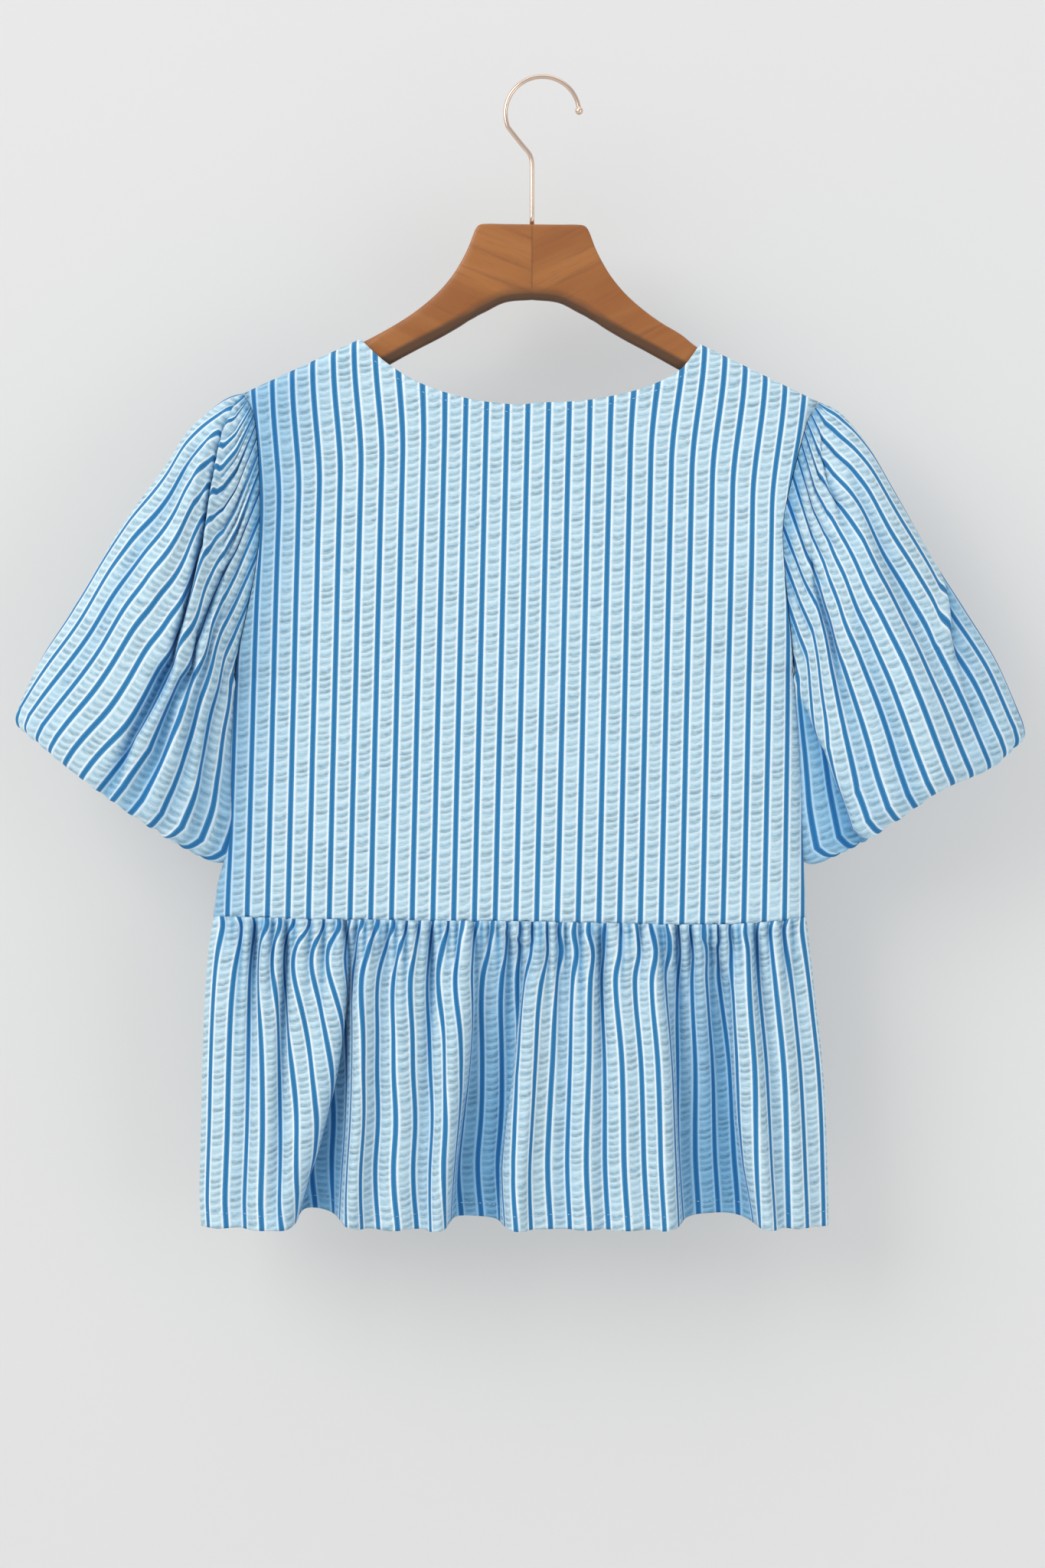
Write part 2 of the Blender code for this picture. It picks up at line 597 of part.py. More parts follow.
def build():
    clear_scene()
    collection = bpy.data.collections.new("babydoll_blouse")
    bpy.context.scene.collection.children.link(collection)
    cloth = make_material("striped_cotton", CLOTH_COLOUR, 0.85, 0.0)
    wood = make_material("hanger_wood", WOOD_COLOUR, 0.45, 0.0)
    metal = make_material("hook_metal", METAL_COLOUR, 0.25, 1.0)

    make_cloth("back_bodice", bodice_rows(-1), False, CLOTH_WALL, cloth, collection)
    make_cloth("front_bodice", bodice_rows(1), False, CLOTH_WALL, cloth, collection)
    sleeves = (
        ("left", LEFT_SLEEVE, LEFT_SLEEVE_FOLDS, 0, -1),
        ("right", RIGHT_SLEEVE, RIGHT_SLEEVE_FOLDS, BODY_COLUMNS, 1))
    for name, table, folds, column, outward in sleeves:
        rows = sleeve_rows(table, folds, column, outward)
        make_cloth(name + "_sleeve", rows, True, CLOTH_WALL, cloth, collection)
        make_cloth(name + "_cuff", cuff_rows(table), True, CUFF_WALL, cloth, collection)
    make_cloth("back_peplum", peplum_rows(-1, BACK_FOLDS), False, CLOTH_WALL, cloth, collection)
    make_cloth("front_peplum", peplum_rows(1, FRONT_FOLDS), False, CLOTH_WALL, cloth, collection)
    make_hanger_half("hanger_left", -1, wood, collection)
    make_hanger_half("hanger_right", 1, wood, collection)
    make_hook(metal, collection)


build()
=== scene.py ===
import math

import bmesh
import bpy
import numpy as np
from mathutils import Matrix, Vector


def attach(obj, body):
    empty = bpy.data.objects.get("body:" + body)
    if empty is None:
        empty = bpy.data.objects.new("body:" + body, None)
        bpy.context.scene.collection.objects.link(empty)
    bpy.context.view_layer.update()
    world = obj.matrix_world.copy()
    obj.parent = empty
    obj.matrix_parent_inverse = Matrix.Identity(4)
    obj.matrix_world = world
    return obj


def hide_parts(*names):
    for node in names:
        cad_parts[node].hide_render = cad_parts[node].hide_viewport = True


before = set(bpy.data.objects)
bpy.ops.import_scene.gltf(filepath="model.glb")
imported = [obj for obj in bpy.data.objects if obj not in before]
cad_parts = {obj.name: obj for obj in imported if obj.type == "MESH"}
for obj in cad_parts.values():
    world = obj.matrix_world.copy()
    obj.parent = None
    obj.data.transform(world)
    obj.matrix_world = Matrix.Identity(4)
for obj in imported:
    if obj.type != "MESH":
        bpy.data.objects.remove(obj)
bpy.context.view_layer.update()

# Babydoll blouse of striped seersucker on a wooden hanger. The garment's back faces -Y.
# Tables and lengths are in millimetres, as the part was drawn, and mm turns them into metres.
mm = 0.001
stripePitch = 14.35     # from one blue stripe to the next


# Camera, lights and backdrop

stageLook = {
    "lens": 85, "filmWidth": 36, "distance": 2.557, "lookX": -0.0138, "lookZ": -0.4912,
    "garmentY": -0.022, "wallY": 0.085, "wallZ": -0.6, "floorZ": -1.62, "halfSize": 4.0,
    "wallColour": (0.45, 0.45, 0.445, 1), "wallGlow": (0.292, 0.292, 0.289, 1),
    "skyColour": (0.93, 0.95, 1.0, 1), "skyStrength": 0.56}
# Name, place, what it points at, width and height, power, colour
softboxes = (
    ("key", (-3.2, -3.3, 1.8), (0, 0, -0.45), (3.4, 3.4), 142, (1.0, 0.985, 0.96)),
    ("fill", (1.9, -1.9, -0.5), (0, 0, -0.5), (1.6, 2.0), 13, (0.95, 0.98, 1.0)),
    ("top", (0.1, -0.6, 1.5), (0, 0, -0.4), (1.8, 1.0), 6, (1.0, 1.0, 1.0)),
    ("back", (1.3, 2.4, 0.8), (0, 0, -0.45), (1.8, 1.8), 80, (1.0, 1.0, 1.0)))


def addObject(name, data):
    made = bpy.data.objects.new(name, data)
    bpy.context.scene.collection.objects.link(made)
    return made


def makeCamera(look):
    camera = addObject("camera", bpy.data.cameras.new("camera"))
    camera.data.lens = look["lens"]
    camera.data.sensor_width = look["filmWidth"]
    camera.location = (look["lookX"], look["garmentY"] - look["distance"], look["lookZ"])
    camera.rotation_euler = (math.radians(90), 0, 0)
    camera.data.clip_end = 50
    bpy.context.scene.camera = camera


def makeSoftbox(name, place, target, size, power, colour):
    light = addObject(name, bpy.data.lights.new(name, "AREA"))
    light.data.shape = "RECTANGLE"
    light.data.size, light.data.size_y = size
    light.data.energy = power
    light.data.color = colour
    light.location = place
    light.rotation_mode = "QUATERNION"
    light.rotation_quaternion = (Vector(target) - Vector(place)).to_track_quat("-Z", "Y")


# Shader maths

class Value:
    def __init__(self, finish, socket):
        self.finish, self.socket = finish, socket

    def maths(self, operation, *others):
        values = dict(enumerate((self, *others)))
        return self.finish.node("Math", {"operation": operation}, values)

    def __add__(self, other): return self.maths("ADD", other)
    def __radd__(self, other): return self.maths("ADD", other)
    def __sub__(self, other): return self.maths("SUBTRACT", other)
    def __rsub__(self, other):
        return self.finish.node("Math", {"operation": "SUBTRACT"}, {0: other, 1: self})

    def __mul__(self, other): return self.maths("MULTIPLY", other)
    def __rmul__(self, other): return self.maths("MULTIPLY", other)
    def __abs__(self): return self.maths("ABSOLUTE")
    def floor(self): return self.maths("FLOOR")
    def sine(self): return self.maths("SINE")

    def step(self, start, end, low=0.0, high=1.0):
        values = {"Value": self, "From Min": start, "From Max": end, "To Min": low, "To Max": high}
        return self.finish.node("MapRange", {"interpolation_type": "SMOOTHSTEP"}, values, "Result")


class Finish:
    def __init__(self, name):
        self.material = bpy.data.materials.new(name)
        self.material.use_nodes = True
        self.tree = self.material.node_tree
        self.tree.nodes.clear()

    def node(self, kind, settings=None, values=None, output=0):
        made = self.tree.nodes.new("ShaderNode" + kind)
        for key, value in (settings or {}).items():
            if key == "stops":
                ramp = made.color_ramp
                while len(ramp.elements) < len(value):
                    ramp.elements.new(0.5)
                for element, (place, colour) in zip(ramp.elements, value):
                    element.position, element.color = place, colour
            else:
                setattr(made, key, value)
        for key, value in (values or {}).items():
            if isinstance(value, Value):
                self.tree.links.new(value.socket, made.inputs[key])
            else:
                made.inputs[key].default_value = value
        return Value(self, made.outputs[output]) if made.outputs else None

    def split(self, vector):
        first = self.node("SeparateXYZ", {}, {0: vector})
        outputs = first.socket.node.outputs
        return tuple(Value(self, outputs[index]) for index in range(3))

    def join(self, x, y, z=0.0):
        return self.node("CombineXYZ", {}, {0: x, 1: y, 2: z})

    def blend(self, factor, low, high):
        return self.node("Mix", {"data_type": "RGBA"}, {"Factor": factor, 6: low, 7: high}, 2)

    def noise(self, vector, scale, detail=2.0, roughness=0.5):
        values = {"Vector": vector, "Scale": scale, "Detail": detail, "Roughness": roughness}
        return self.node("TexNoise", {}, values, 0)

    def bump(self, height, distance, strength=1.0, normal=None):
        values = {"Height": height, "Distance": distance, "Strength": strength}
        if normal is not None:
            values["Normal"] = normal
        return self.node("Bump", {}, values)

    def shade(self, values):
        shader = self.node("BsdfPrincipled", {}, values)
        self.node("OutputMaterial", {}, {"Surface": shader})
        return self.material


# Seersucker: a blue stripe between white bands, then a pale puckered band

# The shade and deep colours tint painted shade into the folds; the pucker colours paint shade into the pucker
# troughs and highlights onto their crests
clothLook = {
    "blueCore": (0.027, 0.190, 0.420, 1), "blueEdge": (0.080, 0.33, 0.58, 1),
    "white": (0.85, 0.945, 0.99, 1), "pale": (0.53, 0.74, 0.845, 1), "puckerHighlight": (0.72, 0.88, 0.95, 1),
    "puckerShade": (0.22, 0.41, 0.54, 1), "shade": (0.40, 0.64, 0.84, 1), "deep": (0.32, 0.60, 0.79, 1),
    "blueHalf": 1.82, "whiteEnd": 3.4, "puckerPitch": 5.2, "puckerDepth": 0.0013,
    "threadPitch": 0.45, "threadDepth": 0.00006, "roughness": 0.86, "sheen": 0.12}


def seersucker(name, look):
    f = Finish(name)
    across, along = f.split(f.node("UVMap", {"uv_map": "cloth"}))[:2]
    place = f.join(across, along)
    slub = f.noise(place, 9.0, 3.0)
    fine = f.noise(f.join(across * 4.0, along), 14.0, 2.0)
    u = across + (slub - 0.5) * 0.020
    stripe = (u + 0.5).floor()
    out = abs(u - stripe) * stripePitch
    blueHalf, whiteEnd = look["blueHalf"], look["whiteEnd"]
    blue = out.step(blueHalf - 0.25, blueHalf + 0.3, 1.0, 0.0)
    band = out.step(whiteEnd - 1.0, whiteEnd + 0.8)

    # Puckers lie across each pale band in a row of its own, uneven in pitch, length and tilt
    row = u.floor()
    own = f.node("TexWhiteNoise", {"noise_dimensions": "1D"}, {"W": row})
    wander = f.noise(f.join(row * 3.7, along), 0.55, 2.0) - 0.5
    tilt = (own - 0.5) * 0.3 + (f.noise(f.join(row * 5.1, along), 0.9, 1.0) - 0.5) * 0.9 - 0.6
    side = u - row - 0.5
    turn = (along * (stripePitch / look["puckerPitch"]) + own * 9.0 + wander * 2.2
            + side * tilt - side * side * 2.6)
    wave = (turn * (2 * math.pi)).sine()
    strength = f.noise(f.join(row * 2.3, along), 1.7, 2.0).step(0.28, 0.66, 0.25, 1.0)
    rumple = f.noise(f.join(across * 1.1, along * 2.6), 3.2, 3.0)
    ripple = (wave * 0.5 + 0.5) * strength + (rumple - 0.5) * 0.9
    middle = out.step(whiteEnd - 0.2, whiteEnd + 1.3)
    # Painted shade darkens the pucker troughs and painted highlight lightens their crests, on top of the bump
    puckerShade = wave.step(0.30, 1.0) * strength * middle * rumple.step(0.30, 0.62, 0.45, 1.0)
    light = wave.step(-0.2, -1.0) * middle

    blues = f.blend(out.step(0.35, blueHalf) * 0.75 + (fine - 0.5) * 0.7,
                    look["blueCore"], look["blueEdge"])
    pales = f.blend(light * 0.75 + (fine - 0.5) * 0.5, look["pale"], look["puckerHighlight"])
    pales = f.blend(puckerShade * 0.85, pales, look["puckerShade"])
    ground = f.blend(band, look["white"], pales)
    colour = f.blend(blue, ground, blues)
    # The fold attribute holds painted shade: it darkens and blues the cloth's colour in folds, recesses,
    # seams and shadowed parts
    depth = f.node("Attribute", {"attribute_name": "fold"}, {}, "Fac")
    foldShadedColour = colour
    for past, tint in ((0.0, look["shade"]), (1.0, look["deep"])):      # painted shade for light lost down in the folds and recesses
        foldShadedColour = f.node("Mix", {"data_type": "RGBA", "blend_type": "MULTIPLY"},
                        {"Factor": (depth - past) * (1.0 - blue * 0.35), 6: foldShadedColour, 7: tint}, 2)

    threads = 2 * math.pi * stripePitch / look["threadPitch"]
    weave = (across * threads).sine() * (along * threads).sine()
    puckers = f.bump(ripple * (band * 0.85 + 0.15), look["puckerDepth"])
    normal = f.bump(weave, look["threadDepth"], 0.6, puckers)
    return f.shade({
        "Base Color": foldShadedColour, "Roughness": look["roughness"] + (fine - 0.5) * 0.1, "Normal": normal,
        "Sheen Weight": look["sheen"], "Sheen Roughness": 0.4, "Specular IOR Level": 0.25})


threadLook = {"light": (0.62, 0.78, 0.90, 1), "dark": (0.36, 0.56, 0.74, 1), "twist": 2600}


def threadFinish(name, look):
    f = Finish(name)
    place = f.node("TexCoord", {}, {}, "Object")
    x, y, z = f.split(place)
    twist = ((x + z) * look["twist"]).sine()
    mottle = f.noise(place, 260.0)
    colour = f.blend(mottle.step(0.3, 0.7), look["light"], look["dark"])
    return f.shade({"Base Color": colour, "Roughness": 0.8 + (mottle - 0.5) * 0.2,
                    "Normal": f.bump(twist, 0.00005)})


# The lip colour is painted shade for the arms' undersides and the darker glued joint
woodLook = {
    "honey": (0.305, 0.100, 0.018, 1), "light": (0.40, 0.150, 0.034, 1), "streak": (0.20, 0.062, 0.013, 1),
    "lip": (0.066, 0.029, 0.010, 1), "roughness": 0.42, "coat": 0.12}


def woodFinish(name, look, slope, shift):
    f = Finish(name)
    place = f.node("TexCoord", {}, {}, "Object")
    turned = f.node("Mapping", {}, {"Vector": place, "Rotation": (0, slope, 0), "Location": (shift, 0, 0)})
    along, through, height = f.split(turned)
    flow = f.noise(f.join(along * 5.0, through * 30.0, height * 30.0), 1.0, 3.0)
    grain = f.noise(f.join(along * 14.0, through * 190.0, (height + (flow - 0.5) * 0.02) * 260.0),
                    1.0, 4.0, 0.6)
    broad = f.noise(f.join(along * 6.0, through * 60.0, (height + (flow - 0.5) * 0.03) * 60.0), 1.0, 2.0)
    pores = f.noise(f.join(along * 120.0, through * 1500.0, height * 1500.0), 1.0, 2.0).step(0.62, 0.74)
    colour = f.blend(broad.step(0.3, 0.72), look["honey"], look["light"])
    colour = f.blend(grain.step(0.50, 0.78) * 0.55, colour, look["streak"])
    colour = f.blend(pores * 0.30, colour, look["streak"])
    # Painted shade: the underside below the face darkens toward the lip colour; the glued joint darkens too
    undersideShadeAndJoint = f.node("Attribute", {"attribute_name": "lip"}, {}, "Fac")
    colour = f.blend(undersideShadeAndJoint * 0.88, colour, look["lip"])
    relief = grain * 0.6 + pores * -0.8
    return f.shade({
        "Base Color": colour, "Roughness": look["roughness"] + (grain - 0.5) * 0.25,
        "Normal": f.bump(relief, 0.00008), "Coat Weight": look["coat"], "Coat Roughness": 0.3})


metalLook = {"bright": (0.80, 0.62, 0.50, 1), "dull": (0.66, 0.50, 0.40, 1), "roughness": 0.24}


def metalFinish(name, look):
    f = Finish(name)
    place = f.node("TexCoord", {}, {}, "Object")
    cloud = f.noise(place, 90.0, 3.0)
    x, y, z = f.split(place)
    scratch = f.noise(f.join(x * 900.0, y * 900.0, z * 60.0), 1.0, 2.0)
    colour = f.blend(cloud.step(0.35, 0.75) * 0.5, look["bright"], look["dull"])
    return f.shade({
        "Base Color": colour, "Metallic": 1.0, "Roughness": look["roughness"] + (cloud - 0.5) * 0.16,
        "Normal": f.bump(scratch, 0.00002)})


def plainFinish(name, colour, glow, oneSided):      # oneSided: seen through from behind
    f = Finish(name)
    place = f.node("TexCoord", {}, {}, "Object")
    cloud = f.noise(place, 3.0, 3.0)
    shade = f.node("BsdfPrincipled", {}, {
        "Base Color": f.blend((cloud - 0.5) * 0.04 + 0.02, colour, (0.7, 0.7, 0.7, 1)), "Roughness": 0.9,
        "Emission Color": glow, "Emission Strength": 1.0})
    if oneSided:
        clear = f.node("BsdfTransparent", {}, {})
        back = f.node("NewGeometry", {}, {}, "Backfacing")
        shade = f.node("MixShader", {}, {0: back, 1: shade, 2: clear})
    f.node("OutputMaterial", {}, {"Surface": shade})
    return f.material


# Maths on whole arrays

def mix(low, high, share):
    return low + (high - low) * share


def ease(share):
    share = np.clip(share, 0.0, 1.0)
    return share * share * (3.0 - 2.0 * share)


def read(table, column, place):     # one column of a table, on a smooth curve
    rows = sorted(table)
    at = np.array([row[0] for row in rows], float)
    values = np.array([row[column] for row in rows], float)
    inner = (values[2:] - values[:-2]) / (at[2:] - at[:-2])
    first = (values[1] - values[0]) / (at[1] - at[0])
    last = (values[-1] - values[-2]) / (at[-1] - at[-2])
    slopes = np.concatenate(([first], inner, [last]))
    place = np.clip(place, at[0], at[-1])
    low = np.clip(np.searchsorted(at, place) - 1, 0, len(at) - 2)
    span = at[low + 1] - at[low]
    t = (place - at[low]) / span
    return ((2 * t ** 3 - 3 * t ** 2 + 1) * values[low] + (3 * t ** 2 - 2 * t ** 3) * values[low + 1]
            + (t ** 3 - 2 * t ** 2 + t) * span * slopes[low]
            + (t ** 3 - t ** 2) * span * slopes[low + 1])


def route(stations, share, column):     # a plain straight run between a crease's stations
    return np.interp(share, [row[0] for row in stations], [row[column] for row in stations])


def hump(distance):
    return np.exp(-np.square(distance))


def window(place, start, end, softStart, softEnd):      # 1 between start and end, 0 beyond them
    return 1 / ((1 + np.exp(-(place - start) / softStart)) * (1 + np.exp((place - end) / softEnd)))


def fromTurn(degrees, centre):
    return (degrees - centre + 180) % 360 - 180


def arcAlong(points):       # length of cloth from the start of a row of points
    steps = np.linalg.norm(np.diff(points, axis=0), axis=1)
    return np.concatenate(([0.0], np.cumsum(steps)))


# The garment's outlines, as the part has them

leftEdge = (
    (-219.3, -207.5), (-232, -201), (-250, -197.8), (-273, -196.2), (-297, -195.4), (-321, -196),
    (-345, -199), (-370, -204.3), (-416, -213.3), (-475, -217.3), (-517, -218.6), (-542, -221),
    (-560, -225.4), (-582.5, -228.7))
rightEdge = (
    (-225.5, 192.1), (-236, 184.9), (-248, 180.9), (-260, 177.7), (-273, 174.4), (-289, 170.3),
    (-305, 167.1), (-321, 166.3), (-346, 167.9), (-370, 170.3), (-412, 174.4), (-474, 179.3),
    (-533, 181.2), (-583, 183.5))
leftUnderarm, rightUnderarm = -416.0, -412.0
backNeck = (
    (-126.8, -181.8), (-106.8, -198.8), (-85.4, -212.1), (-54.6, -222.5), (-25.1, -226.7), (2.1, -227.5),
    (32.9, -226.3), (61.2, -220.7), (80.2, -213.7), (96.7, -203.1), (109.8, -185.3))
waistSeam = (
    (-228.7, -582.5), (-150, -584.5), (-8, -586), (120, -588.2), (160, -586), (183.5, -583))
neckLeft, neckRight = backNeck[0], backNeck[-1]
tipLeft, tipRight = (-207.5, -219.3), (192.1, -225.5)
waistLeft, waistRight = -228.7, 183.5

# Columns run from one armhole to the other; rows run over the shoulder, down the armhole and
# down the side to the waist
body = {
    "shoulderColumns": 5, "neckColumns": 20, "columns": 30, "wrapRows": 4, "armRows": 11, "rows": 14,
    "wrapShare": 0.09, "armShare": 0.54, "wrapArc": 16.0, "neckBand": 12.0, "edgeCrowding": 0.65,
    "wrapRadius": 9.6, "seamRoll": 3.9, "sideGap": 0.65, "armOpen": 14.0, "waistSwell": 9.0,
    "flatTop": 6.0, "flatWaist": 2.4, "neckDrop": 107.0, "neckRound": 2.6, "neckCrowding": 2.2,
    "crownRise": 0.35, "backGrid": (190, 190), "frontGrid": (140, 140), "wall": 0.9,
    "neckStitches": (0.176, 0.824, 0.04), "stitchesOut": 0.5}
wrapRows, armRows = body["wrapRows"], body["armRows"]


def crown(x):
    left = mix(tipLeft[1], neckLeft[1], (x - tipLeft[0]) / (neckLeft[0] - tipLeft[0]))
    right = mix(neckRight[1], tipRight[1], (x - neckRight[0]) / (tipRight[0] - neckRight[0]))
    across = (x - neckLeft[0]) / (neckRight[0] - neckLeft[0])
    between = mix(neckLeft[1], neckRight[1], across)
    half = (neckRight[0] - neckLeft[0]) / 2
    between = between + body["crownRise"] * (half - np.sqrt((x - neckLeft[0] - half) ** 2 + 25))
    return np.where(x < neckLeft[0], left, np.where(x > neckRight[0], right, between))


def frontNeck(x):
    middle = (neckLeft[0] + neckRight[0]) / 2
    half = (neckRight[0] - neckLeft[0]) / 2
    out = np.minimum(np.abs(x - middle) / half, 1.0)
    level = mix(neckLeft[1], neckRight[1], (x - neckLeft[0]) / (2 * half))
    return level - body["neckDrop"] * (1.0 - out ** body["neckRound"])


def topX(column):
    shoulder, total = body["shoulderColumns"], body["columns"]
    across = np.clip(2 * (column - shoulder) / body["neckColumns"], 0, 2)
    near = mix(neckLeft[0], neckRight[0], across ** body["neckCrowding"] / 2)
    far = mix(neckRight[0], neckLeft[0], (2 - across) ** body["neckCrowding"] / 2)
    neck = np.where(across <= 1, near, far)
    left = mix(tipLeft[0], neckLeft[0], column / shoulder)
    right = mix(tipRight[0], neckRight[0], (total - column) / shoulder)
    return np.where(column <= shoulder, left, np.where(column >= total - shoulder, right, neck))


def waistX(share):
    crowded = mix(share, (1 - np.cos(math.pi * share)) / 2, body["edgeCrowding"])
    return mix(waistLeft, waistRight, crowded)


def rowArc(row, start, end):
    wrapped = np.maximum(body["wrapArc"], start + body["neckBand"])
    left = 1 - (np.clip(row, wrapRows, armRows) - wrapRows) / (armRows - wrapRows)
    return np.where(row <= wrapRows, mix(start, wrapped, row / wrapRows),
                    mix(wrapped, end, 1 - left ** 1.6))


def armShare(row):
    length = leftEdge[0][0] - leftUnderarm
    return rowArc(np.minimum(row, armRows), 0.0, length) / length


def armDepth(share):
    return body["sideGap"] + body["armOpen"] * 2 * np.sqrt(np.maximum(share * (1 - share), 0))


def arcTo(depth, radius):       # length over a rounded edge to this far below it
    rounded = radius * np.arccos(np.clip(1 - depth / radius, -1, 1))
    return np.where(depth >= radius, radius * math.pi / 2 + depth - radius, rounded)


def bodyPoint(column, row, facing):
    across = column / body["columns"]
    out = np.abs(2 * across - 1)
    startX = topX(column)
    ridge = crown(startX)
    underarm = mix(leftUnderarm, rightUnderarm, across)
    waist = read(waistSeam, 1, waistX(across))
    neck = read(backNeck, 1, startX) if facing < 0 else frontNeck(startX)
    down = armShare(row)
    flat = mix(body["flatTop"], body["flatWaist"], ease(down))
    fullness = np.maximum(1 - out ** flat, 0) ** (1 / flat)
    radius = np.maximum(body["wrapRadius"] * fullness, 0.001)

    fromTip = np.minimum(column, body["columns"] - column)
    ramp = ease(fromTip / 2) * (1 - 0.6 * ease(fromTip - body["shoulderColumns"] + 1))
    start = -facing * body["seamRoll"] * ramp + 0.25 * np.minimum(fromTip, 1)
    atNeck = arcTo(ridge - neck, body["wrapRadius"])
    start = np.where(fromTip > body["shoulderColumns"], np.maximum(start, atNeck), start)
    arc = rowArc(row, start, arcTo(ridge - underarm, radius))
    turn = np.clip(arc / radius, -math.pi / 2, math.pi / 2)
    upper = ridge - radius * (1 - np.cos(turn)) - np.maximum(arc - radius * math.pi / 2, 0)
    lower = mix(underarm, waist, (row - armRows) / (body["rows"] - armRows))
    z = np.where(row <= armRows, upper, lower)
    turn = np.where(row <= armRows, turn, math.pi / 2)

    fall = (ridge - z) / (ridge - waist)
    swell = body["waistSwell"] * ease(fall)
    depth = armDepth(down) * (1 - fullness) + radius * np.sin(turn) + swell * fullness
    x = mix(startX, waistX(across), fall)
    for edge, tip, under, foot, away in (
            (leftEdge, tipLeft[1], leftUnderarm, waistLeft, column),
            (rightEdge, tipRight[1], rightUnderarm, waistRight, body["columns"] - column)):
        level = np.where(row <= armRows, mix(tip, under, down), z)
        share = (tip - level) / (tip - edge[-1][0])
        bow = read(edge, 1, level) - mix(edge[0][1], foot, share)
        x = x + bow * np.maximum(1 - away / body["shoulderColumns"], 0) ** 1.5
    z = z + (crown(x) - ridge) * fullness * (1 - down)
    return x, facing * depth, z


# Making meshes

def meshFrom(name, bm):
    mesh = bpy.data.meshes.new(name)
    bm.to_mesh(mesh)
    bm.free()
    return mesh


def gridMesh(name, columns, rows):      # a flat grid, and the place of its points from 0 to 1
    bm = bmesh.new()
    bmesh.ops.create_grid(bm, x_segments=columns, y_segments=rows, size=0.5)
    mesh = meshFrom(name, bm)
    flat = np.empty(len(mesh.vertices) * 3)
    mesh.vertices.foreach_get("co", flat)
    flat = flat.reshape(-1, 3) + 0.5
    return mesh, flat[:, 0], flat[:, 1]


def shapeGrid(mesh, points, layer, values):     # move the points and give each a value
    mesh.vertices.foreach_set("co", (points * mm).ravel())
    mesh.attributes.new(layer, "FLOAT", "POINT").data.foreach_set("value", values)


def closeUp(mesh, gap, fill=False):     # join doubled points, fill open ends, turn faces outwards
    bm = bmesh.new()
    bm.from_mesh(mesh)
    bmesh.ops.remove_doubles(bm, verts=bm.verts, dist=gap * mm)
    if fill:
        bmesh.ops.holes_fill(bm, edges=[edge for edge in bm.edges if edge.is_boundary], sides=0)
    bmesh.ops.recalc_face_normals(bm, faces=bm.faces)
    bm.to_mesh(mesh)
    bm.free()


def addPiece(name, mesh, finish):
    mesh.materials.append(finish)
    return addObject(name, mesh)


# A sheet is a grid bent over its form, with a thin wall

def makeSheet(name, grid, bend, outward, wall, finish, tube=False):
    mesh, u, v = gridMesh(name, *grid)
    points, pattern, fold = bend(u, v)
    # The fold values are painted shade, darkening the cloth's colour where it lies in shade
    shapeGrid(mesh, points, "fold", np.clip(fold, 0, 2))
    corners = np.empty(len(mesh.loops), int)
    mesh.loops.foreach_get("vertex_index", corners)
    mesh.uv_layers.new(name="cloth").uv.foreach_set("vector", pattern[corners].ravel())
    if tube:
        closeUp(mesh, 0.01)
    bm = bmesh.new()
    bm.from_mesh(mesh)
    bm.normal_update()
    facing = sum(face.normal.dot(outward(face.calc_center_median())) for face in bm.faces)
    if facing < 0:
        bmesh.ops.reverse_faces(bm, faces=bm.faces)
    bm.to_mesh(mesh)
    bm.free()
    mesh.shade_smooth()
    piece = addPiece(name, mesh, finish)
    solidify = piece.modifiers.new("wall", "SOLIDIFY")
    solidify.thickness = wall * mm
    solidify.offset = 0.0
    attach(piece, "root")
    return piece


# Lay columns at even steps along the cloth of each row, evened out between rows
def layRows(section, u, v, settle, held=0):
    levels, index = np.unique(np.round(v, 9), return_inverse=True)
    rows = [section(level) for level in levels]
    lengths = np.stack([arcAlong(row[:, :3]) for row in rows])
    shares = lengths / lengths[:, -1:]
    shares[:held] = shares[held]
    reach = 3 * settle
    weights = hump(np.arange(-reach, reach + 1) / settle)
    padded = np.pad(shares, ((reach, reach), (0, 0)), mode="edge")
    shares = sum(weight * padded[start:start + len(levels)]
                 for start, weight in enumerate(weights)) / weights.sum()
    laid = np.empty((len(u), rows[0].shape[1]))
    for number, row in enumerate(rows):
        picked = index == number
        for channel in range(row.shape[1]):
            laid[picked, channel] = np.interp(u[picked], shares[number], row[:, channel])
    return laid, lengths[len(rows) // 2, -1]


# Which way is out, for a tube and for a panel
def awayFrom(middle):
    centre = Vector(middle) * mm
    return lambda place: place - centre


def outTo(facing):
    return lambda place: Vector((0, facing, 0))


# Bodice panels

# Soft drag lines: x and z of both ends, half width, depth out of the cloth
backLines = (
    (-190, -240, -150, -330, 9, 0.9), (-178, -300, -120, -420, 13, -0.8), (160, -300, 110, -400, 12, 0.9),
    (158, -345, 90, -460, 14, -0.9), (-205, -420, -130, -500, 12, 0.9), (165, -420, 120, -520, 12, 0.8),
    (-60, -300, -75, -470, 22, -0.7), (40, -280, 55, -450, 24, 0.7), (-150, -540, -160, -583, 6, 0.9),
    (-110, -552, -104, -585, 5, -0.8), (-70, -548, -66, -585, 6, 0.8), (-28, -556, -34, -586, 5, -0.7),
    (10, -545, 14, -586, 6, 0.8), (52, -555, 48, -587, 5, -0.7), (88, -548, 94, -588, 6, 0.8),
    (130, -552, 124, -588, 5, -0.8), (-200, -500, -196, -582, 10, -0.8), (160, -540, 166, -585, 6, 0.8))
